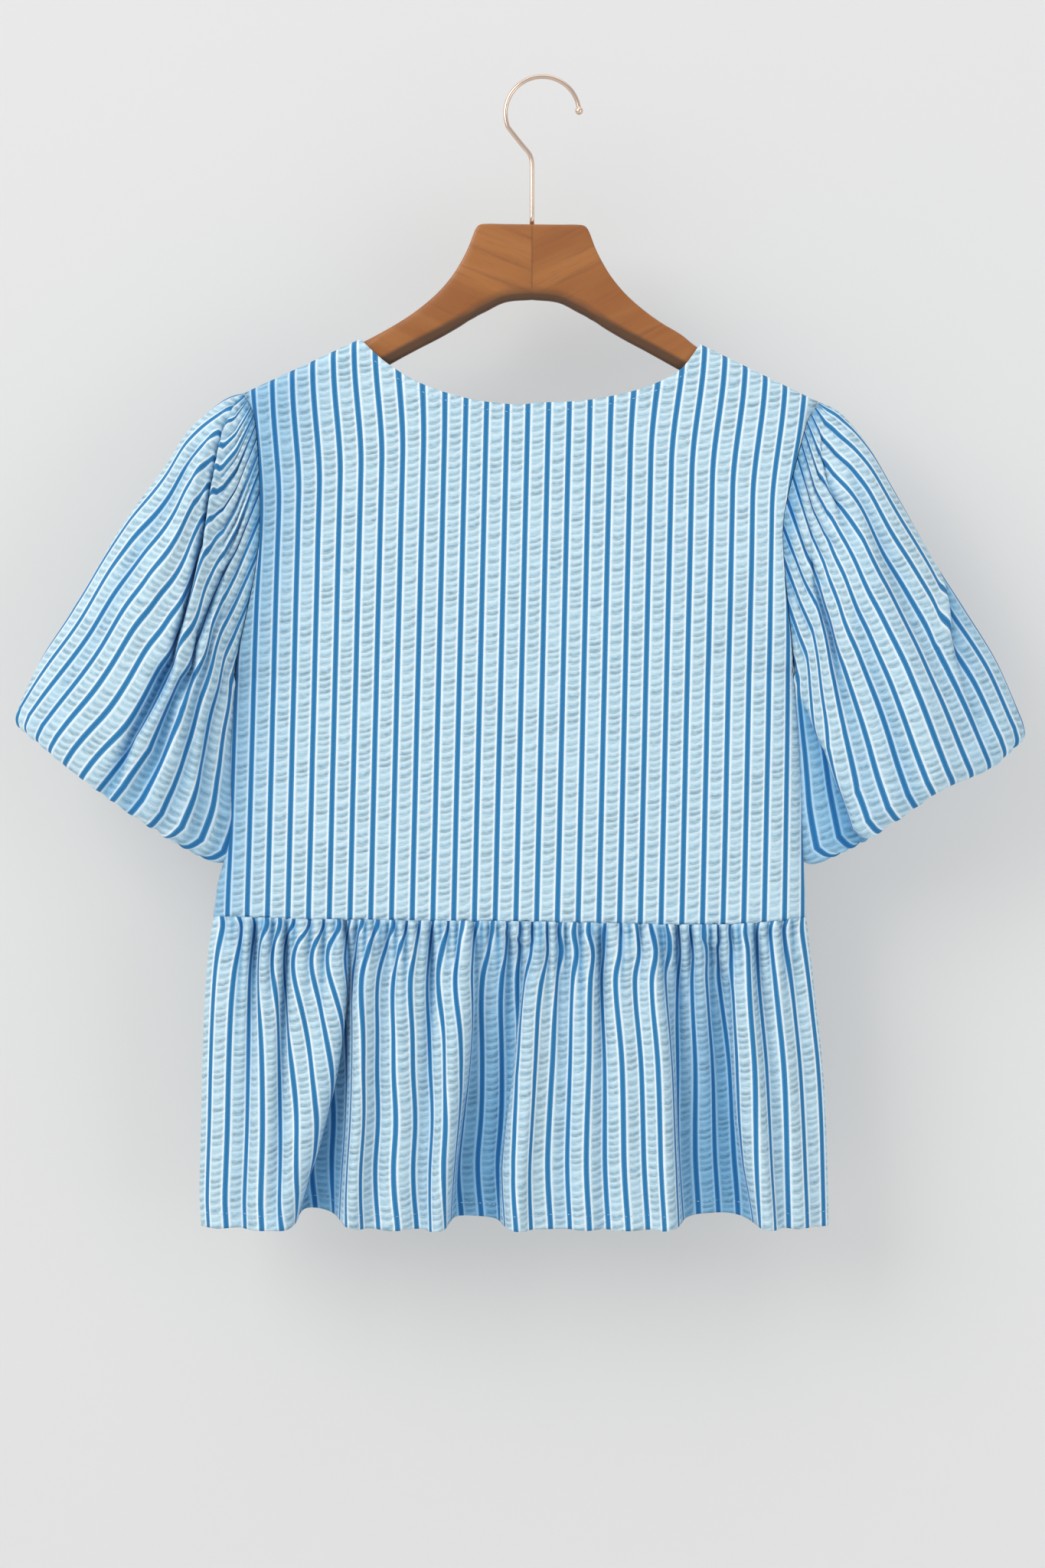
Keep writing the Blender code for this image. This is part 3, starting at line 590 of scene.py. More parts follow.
frontLines = (
    (-185, -250, -140, -350, 10, 0.9), (-170, -320, -110, -440, 14, -0.9), (158, -310, 100, -420, 12, 0.9),
    (150, -380, 80, -480, 15, -0.8), (-200, -430, -120, -520, 12, 0.9), (168, -430, 110, -530, 12, 0.8),
    (-20, -330, -30, -500, 22, -0.8), (60, -320, 72, -480, 20, 0.7), (-140, -545, -148, -584, 6, 0.9),
    (-96, -550, -92, -585, 5, -0.8), (-50, -548, -46, -585, 6, 0.8), (-4, -552, -8, -586, 5, -0.8),
    (36, -546, 40, -587, 6, 0.8), (80, -552, 76, -588, 5, -0.7), (118, -548, 124, -588, 6, 0.8))


def linesDepth(x, z, lines):
    total = np.zeros_like(x)
    for x1, z1, x2, z2, width, depth in lines:
        length = math.hypot(x2 - x1, z2 - z1)
        ux, uz = (x2 - x1) / length, (z2 - z1) / length
        along = (x - x1) * ux + (z - z1) * uz
        side = (x - x1) * uz - (z - z1) * ux
        past = np.maximum(np.maximum(-along, along - length), 0)
        total += depth * hump(side / width) * hump(past / (width * 2.2))
    return total


# Stripes hang straight, leaning a little, and fan out at the shoulders; one of them runs
# through stripeX, stripeZ
fan = {"reach": 92.0, "shift": 7.0, "inner": 40.0, "outer": 105.0, "middle": -8.5, "lean": 0.0236,
       "stripeX": -69.5, "stripeZ": -318.0}


def stripesAcross(x, z, ridge):
    side = x - fan["middle"]
    near = ease((np.abs(side) - fan["inner"]) / (fan["outer"] - fan["inner"]))
    shift = np.sign(side) * near * fan["shift"] * (1 - ease((ridge - z) / fan["reach"]))
    return (x - shift - fan["stripeX"] - fan["lean"] * (z - fan["stripeZ"])) / stripePitch


def bodyRow(v):     # more of the sheet's rows on the shoulder and round the armhole
    wrapShare, armEnd = body["wrapShare"], body["armShare"]
    part = np.clip((v - wrapShare) / (armEnd - wrapShare), 0, 1)
    upper = wrapRows + (armRows - wrapRows) * (1 - (1 - part) ** 0.625)
    lower = armRows + (body["rows"] - armRows) * (v - armEnd) / (1 - armEnd)
    return np.where(v < wrapShare, v / wrapShare * wrapRows, np.where(v < armEnd, upper, lower))


def bendBodice(facing, lines):
    def bend(u, v):
        x, y, z = bodyPoint(u * body["columns"], bodyRow(v), facing)
        ridge = crown(np.clip(x, tipLeft[0], tipRight[0]))
        free = ease(np.minimum(u, 1 - u) / 0.05)
        push = linesDepth(x, z, lines) * free
        seam = hump((1 - v) / 0.006) + 0.7 * hump(v / 0.012)     # edges turn in at the seams
        y = y + facing * (push - 0.9 * seam * free)
        z = z - 0.5 * hump((1 - v) / 0.01)
        curl = np.where(u < 0.5, -1, 1) * (1 - np.sqrt(np.clip(1 - np.abs(2 * u - 1) ** 8, 0, 1))) * 4
        across = stripesAcross(x + curl, z, ridge)
        along = (arcTo(ridge - z, body["wrapRadius"]) - ridge) / stripePitch
        points = np.stack((x, y, z), axis=1)
        # Painted shade: darker along the waist seam, broadly darker at the left side where the sleeve shades
        # the bodice, and a little at the right armhole
        fold = 0.12 * hump((1 - v) / 0.004) + 0.72 * hump(u / 0.10) + 0.10 * hump((1 - u) / 0.02)
        return points, np.stack((across, -along), axis=1), fold
    return bend


# Sleeves

leftSleeve = (
    (0.00, -207.5, -219.3, -215.3, -416.5, 14), (0.05, -221, -224, -217.6, -423, 24),
    (0.17, -246, -245, -219.5, -430, 32), (0.28, -262, -270, -221, -437, 36),
    (0.46, -291, -310, -224.5, -458, 38), (0.70, -323, -370, -224.5, -490, 39),
    (0.85, -346, -404, -223.5, -514, 38), (1.00, -364, -437, -226.5, -537, 35))
rightSleeve = (
    (0.00, 192.1, -225.5, 176.4, -413, 14), (0.05, 206, -232, 179, -420, 24),
    (0.17, 226, -255, 181, -427, 32), (0.29, 242.5, -283, 182.5, -434, 36),
    (0.52, 273, -337, 185.2, -464, 38), (0.67, 294, -370, 185.8, -486, 39),
    (0.83, 316, -406, 186.2, -512, 38), (1.00, 334, -448, 189, -538, 35))
# Turned-under hem: stage, depth in, reach past the last row, draw in at the corners
hemRoll = ((0, 0, 0, 0), (1, 7, 8, 3.5), (2, 17, 10.5, 10), (3, 28, 6, 24), (4, 34, -4, 34))

# Long folds: how far the crest leans over, then stations of share down the sleeve, turn round
# it in degrees from the outer edge (0 to 180 is the back), half width in degrees and depth in
leftFolds = (
    (5.0, ((0.02, 14, 3, 3), (0.05, 34, 3.5, 6), (0.09, 56, 4, 9), (0.126, 70, 4, 10), (0.166, 81, 4, 11),
           (0.25, 88, 3.6, 11), (0.376, 97.5, 3.2, 11), (0.51, 102.4, 4, 12), (0.60, 99, 6, 13),
           (0.71, 96, 5, 11), (0.83, 93, 4, 9), (1.0, 92, 5, 6))),
    (4.0, ((0.03, 96, 3, 4), (0.06, 103, 3, 7), (0.18, 110.5, 3.5, 9), (0.32, 112, 3.4, 9),
           (0.43, 119, 3.4, 9), (0.66, 113, 4, 9), (0.88, 109, 4, 7), (1.0, 107, 5, 5))),
    (3.0, ((0.05, 116, 3, 3), (0.30, 127, 3.4, 6), (0.46, 130, 4, 5), (0.8, 128, 5, 4),
           (1.0, 124, 6, 3))),
    (0.5, ((0.05, 31, 5, -2), (0.18, 60, 6, -4), (0.31, 67, 6, -4), (0.47, 71, 6, -3), (0.74, 66, 8, -2),
           (1.0, 62, 9, -1))),
    (1.0, ((0.1, 30, 5, 1), (0.22, 42, 6, 3), (0.45, 46, 8, 3), (0.8, 44, 9, 1.5), (1.0, 44, 9, 1))),
    (3.0, ((0.1, 148, 5, 2), (0.3, 152, 6, 4), (0.6, 148, 7, 5), (1.0, 146, 9, 4))),
    (0.2, ((0.10, 180, 12, -1), (0.26, 180, 13, -5), (0.45, 180, 15, -7.4), (1.0, 180, 15, -7))),
    (0.2, ((0.45, 0, 14, -0.5), (0.7, 0, 15, -4), (0.88, 0, 14, -2), (1.0, 0, 14, 0))),
    (4.0, ((0.05, 226, 5, 4), (0.3, 236, 6, 8), (0.7, 246, 7, 9), (1.0, 252, 9, 5))),
    (-4.0, ((0.03, 268, 4, 5), (0.25, 280, 5, 9), (0.6, 288, 6, 10), (1.0, 292, 9, 6))),
    (3.0, ((0.05, 318, 6, 4), (0.4, 314, 8, 5), (1.0, 306, 10, 4))),
    (-2.0, ((0.1, 200, 6, 2), (0.5, 206, 8, 4), (1.0, 210, 9, 3))))
rightFolds = (
    (3.5, ((0.02, 84, 3, 4), (0.05, 108, 3.4, 7), (0.15, 114, 3.6, 8), (0.31, 118.5, 4, 8),
           (0.45, 121, 5, 5), (0.7, 119, 6, 3), (1.0, 116, 7, 2))),
    (2.0, ((0.008, 36, 2.5, 3), (0.03, 54, 2.5, 5), (0.045, 63, 2.6, 5), (0.12, 70, 4, 2.5),
           (0.25, 76, 6, 1))),
    (0.5, ((0.2, 72, 8, -2.5), (0.56, 77, 11, -6), (0.76, 80, 12, -7.5), (1.0, 80, 11, -4.5))),
    (1.0, ((0.12, 50, 6, 2), (0.35, 57, 8, 3.5), (0.6, 60, 8, 2.5), (1.0, 61, 9, 1.5))),
    (1.5, ((0.3, 92, 6, 1.5), (0.55, 96, 6, 3), (0.85, 97, 6, 3.5), (1.0, 97, 7, 3))),
    (0.2, ((0.10, 180, 12, -1), (0.26, 180, 13, -5), (0.5, 180, 14, -7.2), (1.0, 180, 14, -8))),
    (4.0, ((0.05, 222, 5, 4), (0.3, 232, 6, 8), (0.7, 244, 7, 9), (1.0, 250, 9, 5))),
    (-4.0, ((0.03, 264, 4, 5), (0.25, 274, 5, 9), (0.6, 286, 6, 10), (1.0, 296, 9, 6))),
    (3.0, ((0.05, 326, 6, 4), (0.4, 322, 8, 5), (1.0, 312, 10, 4))))

# Parts of a sleeve that lie behind a fold's edge: share, turns of both ends, depth, overlap at
# both ends
leftRecesses = (
    ((0.0, 176, 196, 0, 0, 0), (0.45, 168, 196, 4, 3, 0), (0.75, 160, 198, 9, 4, 0),
     (1.0, 158, 198, 8, 3, 0)),)
rightRecesses = (
    ((0.0, -60, 0, 0, 0, 0), (0.44, -60, 0, 2, 0, 0), (0.50, -60, 3, 8, 0, 3),
     (0.548, -60, 11.5, 13, 0, 6), (0.62, -60, 33.6, 14, 0, 7), (0.684, -60, 47, 11, 0, 6),
     (0.742, -60, 51, 8, 0, 4), (0.83, -60, 54, 5, 0, 2), (1.0, -60, 56, 3, 0, 1)),
    ((0.0, 176, 200, 0, 0, 0), (0.22, 168, 200, 5, 2, 0), (0.36, 158, 202, 15, 5, 0),
     (0.48, 149, 204, 19, 7, 0), (0.632, 137, 205, 22, 8, 0), (0.874, 127, 205, 23, 8, 0),
     (1.0, 126.4, 205, 19, 6, 0)))

# Gathers sewn into the armhole: turn, half width in degrees, depth, how far down they reach
leftGathers = (
    (8, 2, 2.0, 0.06), (20, 2, 2.4, 0.06), (33, 1.8, 2.8, 0.07), (45, 1.5, 3.6, 0.07),
    (54, 1.4, 3.8, 0.06), (62, 1.3, 3.4, 0.09), (69, 1.4, 4.0, 0.07), (76.5, 1.3, 3.6, 0.10),
    (84, 1.3, 3.8, 0.07), (90, 1.3, 3.4, 0.09), (96, 1.3, 3.8, 0.06), (102, 1.4, 3.6, 0.09),
    (110, 1.8, 2.8, 0.06), (121, 2.0, 2.2, 0.08), (135, 2.4, 2.0, 0.07), (152, 3, 1.6, 0.08),
    (200, 3, 1.6, 0.08), (216, 2.6, 2.2, 0.09), (229, 2.0, 2.6, 0.07), (240, 1.6, 3.2, 0.10),
    (249, 1.5, 3.4, 0.07), (257, 1.4, 3.8, 0.09), (266, 1.4, 3.4, 0.06), (274, 1.4, 3.8, 0.10),
    (283, 1.5, 3.6, 0.07), (292, 1.5, 3.4, 0.09), (303, 1.7, 3.2, 0.08), (316, 1.8, 2.8, 0.07),
    (332, 2.0, 2.4, 0.07), (347, 2.2, 2.0, 0.06))
rightGathers = (
    (9, 2, 1.8, 0.06), (22, 2, 2.2, 0.08), (35, 1.8, 2.4, 0.06), (47, 1.6, 3.0, 0.10),
    (58, 1.5, 2.6, 0.07), (67, 1.5, 3.0, 0.11), (76, 1.5, 2.6, 0.07), (84, 1.5, 3.2, 0.12),
    (93, 1.6, 2.8, 0.08), (103, 1.7, 3.0, 0.12), (114, 2.0, 2.4, 0.08), (127, 2.4, 2.0, 0.09),
    (145, 3, 1.6, 0.08), (164, 3, 1.4, 0.08), (198, 3, 1.6, 0.08), (214, 2.6, 2.2, 0.09),
    (227, 2.0, 2.6, 0.08), (238, 1.7, 3.0, 0.10), (248, 1.5, 3.2, 0.07), (257, 1.5, 3.4, 0.10),
    (267, 1.5, 3.2, 0.07), (276, 1.5, 3.4, 0.09), (286, 1.6, 3.2, 0.07), (297, 1.7, 3.0, 0.10),
    (311, 1.8, 2.8, 0.08), (328, 2.0, 2.4, 0.07), (345, 2.2, 2.0, 0.06))

# "settle" is how far rows are evened out, "held" how many of them start alike, "hemFrom" the
# share of the rows after which the hem turns under
sleeve = {"grid": (330, 146), "samples": 2600, "settle": 5, "held": 13, "crowding": 1.25, "hemFrom": 0.80,
          "hemStages": 20, "seamGap": 0.55, "hemGathers": 34, "hemGatherDepth": 1.1, "wall": 0.7}
# For each sleeve: the armhole's column of the bodice and its side, the middles of puff and cuff;
# down, the stripes' direction, slant, their slant round it, sewn, the same at the armhole,
# pattern, their place, all in stripes, and their pitch; drop, how many degrees higher the cloth
# is sewn on than it hangs; inward, how far the cloth under the arm lies toward the body;
# bulge, where the hem reaches further: turn, half width, reach
leftWay = {"table": leftSleeve, "folds": leftFolds, "recesses": leftRecesses, "gathers": leftGathers,
           "column": 0, "outward": -1, "middle": (-270, 0, -400), "cuffMiddle": (-290, 0, -485),
           "down": (-0.61, -0.79), "slant": 1.7, "sewn": 0.7, "pattern": 0.10, "pitch": 17.0,
           "drop": 30.0, "inward": 5.0, "bulge": ((90, 52, 4.5), (-90, 50, 3.5))}
rightWay = {"table": rightSleeve, "folds": rightFolds, "recesses": rightRecesses, "gathers": rightGathers,
            "column": 30, "outward": 1, "middle": (235, 0, -400), "cuffMiddle": (258, 0, -490),
            "down": (0.50, -0.866), "slant": 0.8, "sewn": 0.7, "pattern": 0.35, "pitch": 16.0,
            "drop": 30.0, "inward": -4.5,
            "bulge": ((50, 19, 5.5), (84, 13, -2.4), (130, 14, 1.5), (-55, 30, 2.5))}


def armholeRing(turn, column, outward):     # the bodices' edges, which the sleeve is sewn to
    drop = (1 - np.cos(turn)) / 2
    rows = np.linspace(0, armRows, 400)
    edge = bodyPoint(np.full_like(rows, float(column)), rows, 1)
    share = armShare(rows)
    x, y, z = (np.interp(drop, share, values) for values in edge)
    y = np.where(np.sin(turn) >= 0, -y, y)
    y = y * np.minimum(np.abs(np.sin(turn)) * 12, 1)
    return x + outward * (sleeve["seamGap"] + drop ** 6), y, z


def sleeveRing(table, turn, share, tuck, reach, draw, sunk):
    outerX, outerZ = read(table, 1, share), read(table, 2, share)
    innerX, innerZ = read(table, 3, share), read(table, 4, share)
    length = np.hypot(outerX - innerX, outerZ - innerZ)
    alongX, alongZ = (outerX - innerX) / length, (outerZ - innerZ) / length
    side = np.where(-alongX > 0, -1, 1)
    pastX, pastZ = alongZ * side, -alongX * side
    half = length / 2 - draw + sunk
    depth = read(table, 5, share) - tuck * 0.62 + sunk
    x = (outerX + innerX) / 2 + pastX * reach + alongX * half * np.cos(turn)
    z = (outerZ + innerZ) / 2 + pastZ * reach + alongZ * half * np.cos(turn)
    return x, -depth * np.sin(turn), z


def bendSleeve(way):
    degrees = np.linspace(-180, 180, sleeve["samples"])     # from the underarm round by the front
    turn = np.radians(degrees)
    sides = np.sin(turn)
    sewn = np.radians(degrees - way["drop"] * sides)
    seamX, seamY, seamZ = armholeRing(sewn, way["column"], way["outward"])
    hemFrom = sleeve["hemFrom"]

    def section(level):
        share = np.full_like(degrees, min(level / hemFrom, 1))
        hem = np.full_like(degrees, max(level - hemFrom, 0) * sleeve["hemStages"])
        tuck, reach, draw = (read(hemRoll, index, hem) for index in (1, 2, 3))
        keep = 1 - (hem / 4) ** 2
        sunk, shift, dark, behind = (np.zeros_like(degrees) for index in range(4))
        for crestLean, path in way["folds"]:
            centre, width, depth = (route(path, share, index) for index in (1, 2, 3))
            start = ease((share - path[0][0] + 0.02) / 0.08)
            offset = fromTurn(degrees, centre)
            trough = hump(offset / width) * start
            crest = hump((offset - np.sign(crestLean) * 2.1 * width) / (1.5 * width)) * start
            sunk += (-depth * trough + 0.36 * depth * crest) * keep
            lean = crestLean * mix(0.35, 0.9, ease((share - 0.22) / 0.3))
            shift -= lean * crest * np.clip(depth / 6, 0, 1) * keep
            # painted shade down in each fold's trough
            dark += trough * np.maximum(depth, 0) / 6.5
        for path in way["recesses"]:
            begin, end, depth, leanBegin, leanEnd = (route(path, share, index) for index in range(1, 6))
            offset = fromTurn(degrees, (begin + end) / 2)
            half = (end - begin) / 2
            inside = window(offset, -half, half, 1.1, 1.1)
            behind += depth * inside * keep
            over = leanBegin * hump((offset + half + 2) / 5) - leanEnd * hump((offset - half - 2) / 5)
            shift += over * keep
            edge = np.where(leanBegin > leanEnd, offset + half, offset - half)
            # painted shade behind a fold's edge, darkest next to the edge that overhangs it
            dark += inside * np.minimum(depth / 14, 1.25) * (0.6 + 0.7 * hump(edge / 14))
        for place, width, depth, far in way["gathers"]:
            offset = fromTurn(degrees, place)
            fade = np.exp(-(share / far) ** 1.6)
            sunk += depth * fade * mix(0.35, 1, ease(share / 0.02)) * (
                0.5 * hump((np.abs(offset) - 2 * width) / width) - hump(offset / width))
            # painted shade between the armhole gathers
            dark += hump(offset / width) * fade
        near = np.exp(-((1 - share) / 0.10) ** 2) * ease(hem * 0.3 + 0.3)
        for place, width, further in way["bulge"]:
            reach = reach + further * hump(fromTurn(degrees, place) / width) * near * keep
        ripple = np.sin(turn * sleeve["hemGathers"] + 1.7 * np.sin(turn * 5))
        uneven = near * (0.7 + 0.5 * np.sin(turn * 3 + 1))
        sunk += ripple * sleeve["hemGatherDepth"] * uneven
        reach = reach + 0.7 * ripple * uneven
        soft = 0.8 * np.sin(turn * 7 + share * 5) * np.sin(share * 9 + 2) * ease(share * 3) * sides ** 2
        x, y, z = sleeveRing(way["table"], np.radians(degrees + shift), np.maximum(share, 0.03),
                             tuck, reach, draw, sunk + soft * keep)
        y = y + behind * sides
        x = x + way["inward"] * hump(fromTurn(degrees, 182) / 20) * ease(share / 0.05) * keep
        join = np.sqrt(np.clip(share / 0.055, 0, 1))
        x, y, z = mix(seamX, x, join), mix(seamY, y, join), mix(seamZ, z, join)
        # painted shade along the armhole seam
        dark += 0.9 * hump(share / 0.007)
        return np.stack((x, y, z, degrees, dark * keep), axis=1)

    def bend(u, v):
        across = u + 0.06 * np.sin(math.pi * u) ** 2        # more columns on the back
        level = v ** sleeve["crowding"]
        laid, length = layRows(section, across, level, sleeve["settle"], sleeve["held"])
        points, degrees, dark = laid[:, :3], laid[:, 3], laid[:, 4]
        share = np.clip(level / hemFrom, 0, 1)
        back = np.sin(np.radians(degrees))
        slant = (way["slant"] * share ** 1.3 * (0.7 + 0.4 * back)
                 + way["sewn"] * back * (1 - ease(share / 0.40)))
        stripes = across * length / way["pitch"] + way["pattern"] + slant
        along = (points[:, 0] * way["down"][0] + points[:, 2] * way["down"][1]) / stripePitch
        return points, np.stack((stripes, -along), axis=1), dark
    return bend


cuff = {"grid": (160, 10), "wall": 1.2, "drawnIn": 35.0, "low": -4.6, "high": -16, "puckers": 40,
        "puckerDepth": 0.25, "stripes": 22, "tall": 0.8, "shade": 0.5}


def bendCuff(way):
    def bend(u, v):
        turn = u * 2 * math.pi
        drawn = np.full_like(u, cuff["drawnIn"])
        pucker = cuff["puckerDepth"] * np.sin(turn * cuff["puckers"]) * (1 - v)
        x, y, z = sleeveRing(way["table"], turn, np.ones_like(u), drawn, mix(cuff["low"], cuff["high"], v),
                             drawn, pucker)
        pattern = np.stack((u * cuff["stripes"], -v * cuff["tall"]), axis=1)
        # painted shade: the cuff, tucked inside the hem, is darkened evenly
        return np.stack((x, y, z), axis=1), pattern, np.full_like(u, cuff["shade"])
    return bend


# Peplum

peplum = {"flat": 2.6, "swell": 25.0, "hemZ": -798.2, "hemDip": 0.18, "relief": 1.5, "gatherRelief": 1.5,
          "stripes": 42.5, "backPattern": 0.1, "frontPattern": 0.4, "flatLength": 221.0,
          "seamDrop": 0.35, "tucked": 0.004, "crowding": 1.25, "wall": 0.7, "samples": 5000, "settle": 5,
          "backGrid": (430, 108), "frontGrid": (320, 80), "hemStitches": (0.006, 0.994, 0.962),
          "stitchesOut": 0.4}
peplumSides = (
    (0.0, -228.7, 183.5), (0.13, -232.6, 186.6), (0.3, -235, 190.6), (0.48, -236.4, 194.8),
    (0.67, -237.2, 197.2), (0.9, -238.4, 198.6), (1.0, -237.2, 199))

# Recesses between the lobes: share down, left edge, right edge, depth, and the overlap of
# the left lobe to the right and of the right lobe to the left
backRecesses = (
    ((0, -138, -128, 1, 0, 0), (0.05, -137, -127.5, 6, 1, 0), (0.12, -136.4, -128, 10, 3, 0),
     (0.27, -140.4, -132, 13, 5, 0), (0.39, -144.5, -132.5, 15, 7, 0), (0.5, -149, -133, 17, 8, 0),
     (0.6, -153.4, -134.5, 18, 8, 0), (0.79, -163.1, -137, 20, 8, 0), (0.9, -169, -139, 20, 6, 0),
     (1.0, -173.5, -141, 20, 3, 0)),
    ((0, -46, -40, 0, 0, 0), (0.08, -47, -9, 5, 1, 1), (0.2, -48, -9, 9, 2, 4),
     (0.35, -51.2, -12.3, 13, 3, 5), (0.5, -54, -14.7, 15, 3, 6), (0.66, -59.3, -19.5, 17, 3, 6),
     (0.81, -63, -24, 18, 3, 5), (1.0, -66.5, -25.5, 18, 2, 2)),
    ((0, 81, 96, 0, 0, 0), (0.08, 82, 122, 4, 1, 1), (0.2, 84, 132, 8, 2, 2),
     (0.35, 85.5, 134.5, 11, 3, 3), (0.5, 88, 136.5, 13, 3, 4), (0.66, 89.5, 138.5, 15, 3, 4),
     (0.81, 91, 142.5, 16, 3, 4), (1.0, 94, 150, 16, 2, 2)))
# Ridges (+) and shallow troughs: x at the waist and hem, half widths there, heights there
backRidges = (
    (-222, -226, 6, 9, 1.5, 4), (-199, -208, 3.5, 7, -3.5, -1.5), (-190, -196, 7, 12, 3, 5),
    (-177, -183, 3, 6, -3.5, -2.0), (-163, -181, 8, 7, 2, 3), (-123, -130, 5, 8, 3, 4),
    (-108, -120, 4, 6, -3, -1.5), (-94, -103, 6, 10, 3, 3.5), (-77, -84, 4, 7, -3.5, -2),
    (-56, -72, 5, 7, 3, 4.5), (-30, -40, 5, 8, 2.5, 2), (-3, -17, 4, 7, 3, 4.5), (17, 14, 4, 7, -3, -2),
    (28, 30, 6, 11, 2, 3), (40, 42, 3.5, 7, -3, -1.5), (53, 58, 6, 12, 3, 3.5), (76, 86, 6, 8, 3, 4.5),
    (109, 112, 4.5, 9, 6, 1.5), (122, 128, 4, 8, -3, -1), (139, 157, 4, 7, 3, 4.5),
    (148, 166, 3.5, 6, -3, -1.5), (160, 178, 6, 9, 3, 3.5), (173, 189, 3.5, 6, -2.5, -1))
frontRecesses = (
    ((0, -178, -168, 0, 0, 0), (0.08, -180, -164, 5, 1, 1), (0.3, -182, -160, 12, 4, 1),
     (0.6, -184, -157, 17, 6, 2), (1.0, -187, -153, 19, 4, 2)),
    ((0, -102, -92, 0, 0, 0), (0.08, -104, -88, 5, 1, 1), (0.3, -106, -84, 12, 1, 4),
     (0.6, -107, -79, 17, 2, 6), (1.0, -108, -74, 19, 2, 3)),
    ((0, 46, 54, 0, 0, 0), (0.08, 44, 58, 5, 1, 1), (0.3, 43, 63, 12, 4, 1), (0.6, 42, 70, 17, 6, 2),
     (1.0, 42, 77, 19, 4, 2)),
    ((0, 124, 132, 0, 0, 0), (0.08, 122, 136, 5, 1, 1), (0.3, 122, 142, 11, 3, 2),
     (0.6, 122, 149, 14, 4, 3), (1.0, 124, 156, 16, 3, 2)))
frontRidges = (
    (-218, -221, 6, 9, 2, 4), (-204, -208, 3.5, 7, -3, -2), (-192, -197, 6, 8, 3, 4),
    (-156, -143, 6, 10, 3, 4), (-142, -130, 4, 7, -3, -2), (-124, -118, 6, 8, 3, 4),
    (-82, -64, 5, 8, 3, 4.5), (-66, -48, 4, 7, -3, -1.5), (-48, -30, 6, 11, 3, 3),
    (-30, -16, 3.5, 7, -3.5, -3), (-10, -2, 6, 10, 3, 3.5), (10, 12, 4, 7, -3, -1.5),
    (32, 33, 6, 8, 3, 4.5), (66, 86, 5, 8, 3, 4.5), (84, 98, 4, 7, -3, -1.5), (104, 114, 6, 8, 3, 3.5),
    (144, 163, 5, 8, 3, 4), (158, 174, 4, 6, -3, -1.5), (170, 186, 5, 8, 2, 3))
# Where the hem swings up: from and to x, softness of both ends, rise
backRises = ((-171, -141, 2.6, 6, 13), (-66, -28, 2.6, 4.5, 7.5), (97, 143, 5, 5, 9.5))
frontRises = ((-180, -134, 6, 6, 15), (-74, -20, 6, 6, 12), (86, 156, 6, 6, 14))
# Gathers sewn into the waist: x, half width, depth, how far down they reach
backGathers = (
    (-220, 2.2, 2.6, 0.10), (-214.6, 2.0, 2.6, 0.08), (-208.4, 2.4, 2.2, 0.30), (-198.8, 2.8, 3.8, 0.24),
    (-193, 2.0, 1.8, 0.08), (-186.5, 2.4, 2.8, 0.20), (-177, 2.4, 3.2, 0.45), (-171.6, 2.0, 3.2, 0.12),
    (-160.6, 2.2, 2.2, 0.16), (-151, 2.2, 2.2, 0.24), (-143.6, 2.0, 1.8, 0.08), (-136.6, 2.6, 4.0, 0.22),
    (-128.4, 2.0, 3.0, 0.12), (-122.4, 2.0, 2.6, 0.18), (-116.8, 1.8, 2.6, 0.08),
    (-112.2, 1.8, 2.4, 0.07), (-107.0, 2.0, 3.0, 0.10), (-101.2, 2.0, 2.6, 0.18), (-94.4, 2.2, 2.8, 0.22),
    (-86.0, 2.0, 2.2, 0.08), (-76.4, 2.4, 2.8, 0.40), (-70.4, 1.8, 2.6, 0.09), (-65.0, 2.0, 2.8, 0.13),
    (-59.2, 2.0, 2.4, 0.24), (-47.2, 2.4, 3.8, 0.24), (-42.2, 1.8, 2.8, 0.10), (-37.2, 1.8, 2.2, 0.09),
    (-30.6, 2.0, 2.0, 0.13), (-23.4, 2.2, 2.6, 0.26), (-14.4, 2.0, 2.4, 0.18), (-6.6, 2.4, 3.8, 0.15),
    (-1.4, 1.8, 2.6, 0.12), (3.6, 1.8, 2.4, 0.20), (10.8, 2.0, 2.6, 0.26), (15.8, 1.8, 2.8, 0.11),
    (26.2, 2.4, 2.8, 0.30), (34.0, 2.0, 1.8, 0.08), (40.0, 2.4, 3.2, 0.32), (43.8, 1.6, 2.4, 0.10),
    (54.6, 2.2, 2.4, 0.16), (60.2, 1.8, 1.8, 0.07), (67.6, 2.0, 2.4, 0.12), (75.8, 2.0, 1.8, 0.08),
    (81.0, 2.4, 3.2, 0.20), (85.2, 1.8, 2.4, 0.09), (93.4, 2.4, 3.8, 0.34), (103.0, 2.2, 2.8, 0.16),
    (110.4, 2.0, 1.8, 0.08), (116.2, 2.0, 2.6, 0.26), (122.0, 1.8, 2.8, 0.12), (130.8, 2.4, 3.2, 0.24),
    (135.8, 1.8, 2.4, 0.11), (141.4, 1.8, 2.2, 0.08), (147.2, 2.4, 3.2, 0.20), (156.8, 2.2, 2.2, 0.14),
    (166.6, 2.4, 2.8, 0.20), (173.2, 1.8, 2.2, 0.10))


def spreadGathers(seed, count, low, high):      # similar gathers for the side that the photo hides
    random = np.random.default_rng(seed)
    places = np.linspace(low, high, count) + random.uniform(-2.2, 2.2, count)
    return tuple(zip(places, random.uniform(1.8, 2.6, count), random.uniform(2.0, 3.6, count),
                     random.uniform(0.08, 0.30, count)))


def sectionFull(share, flat):
    return np.maximum(1 - share ** flat, 0) ** (1 / flat)


def peplumFall(v):      # how far down the sheet's row v is, from the seam to the hem
    tucked = peplum["tucked"]
    return np.clip((v - tucked) / (1 - tucked), 0, 1) ** peplum["crowding"]


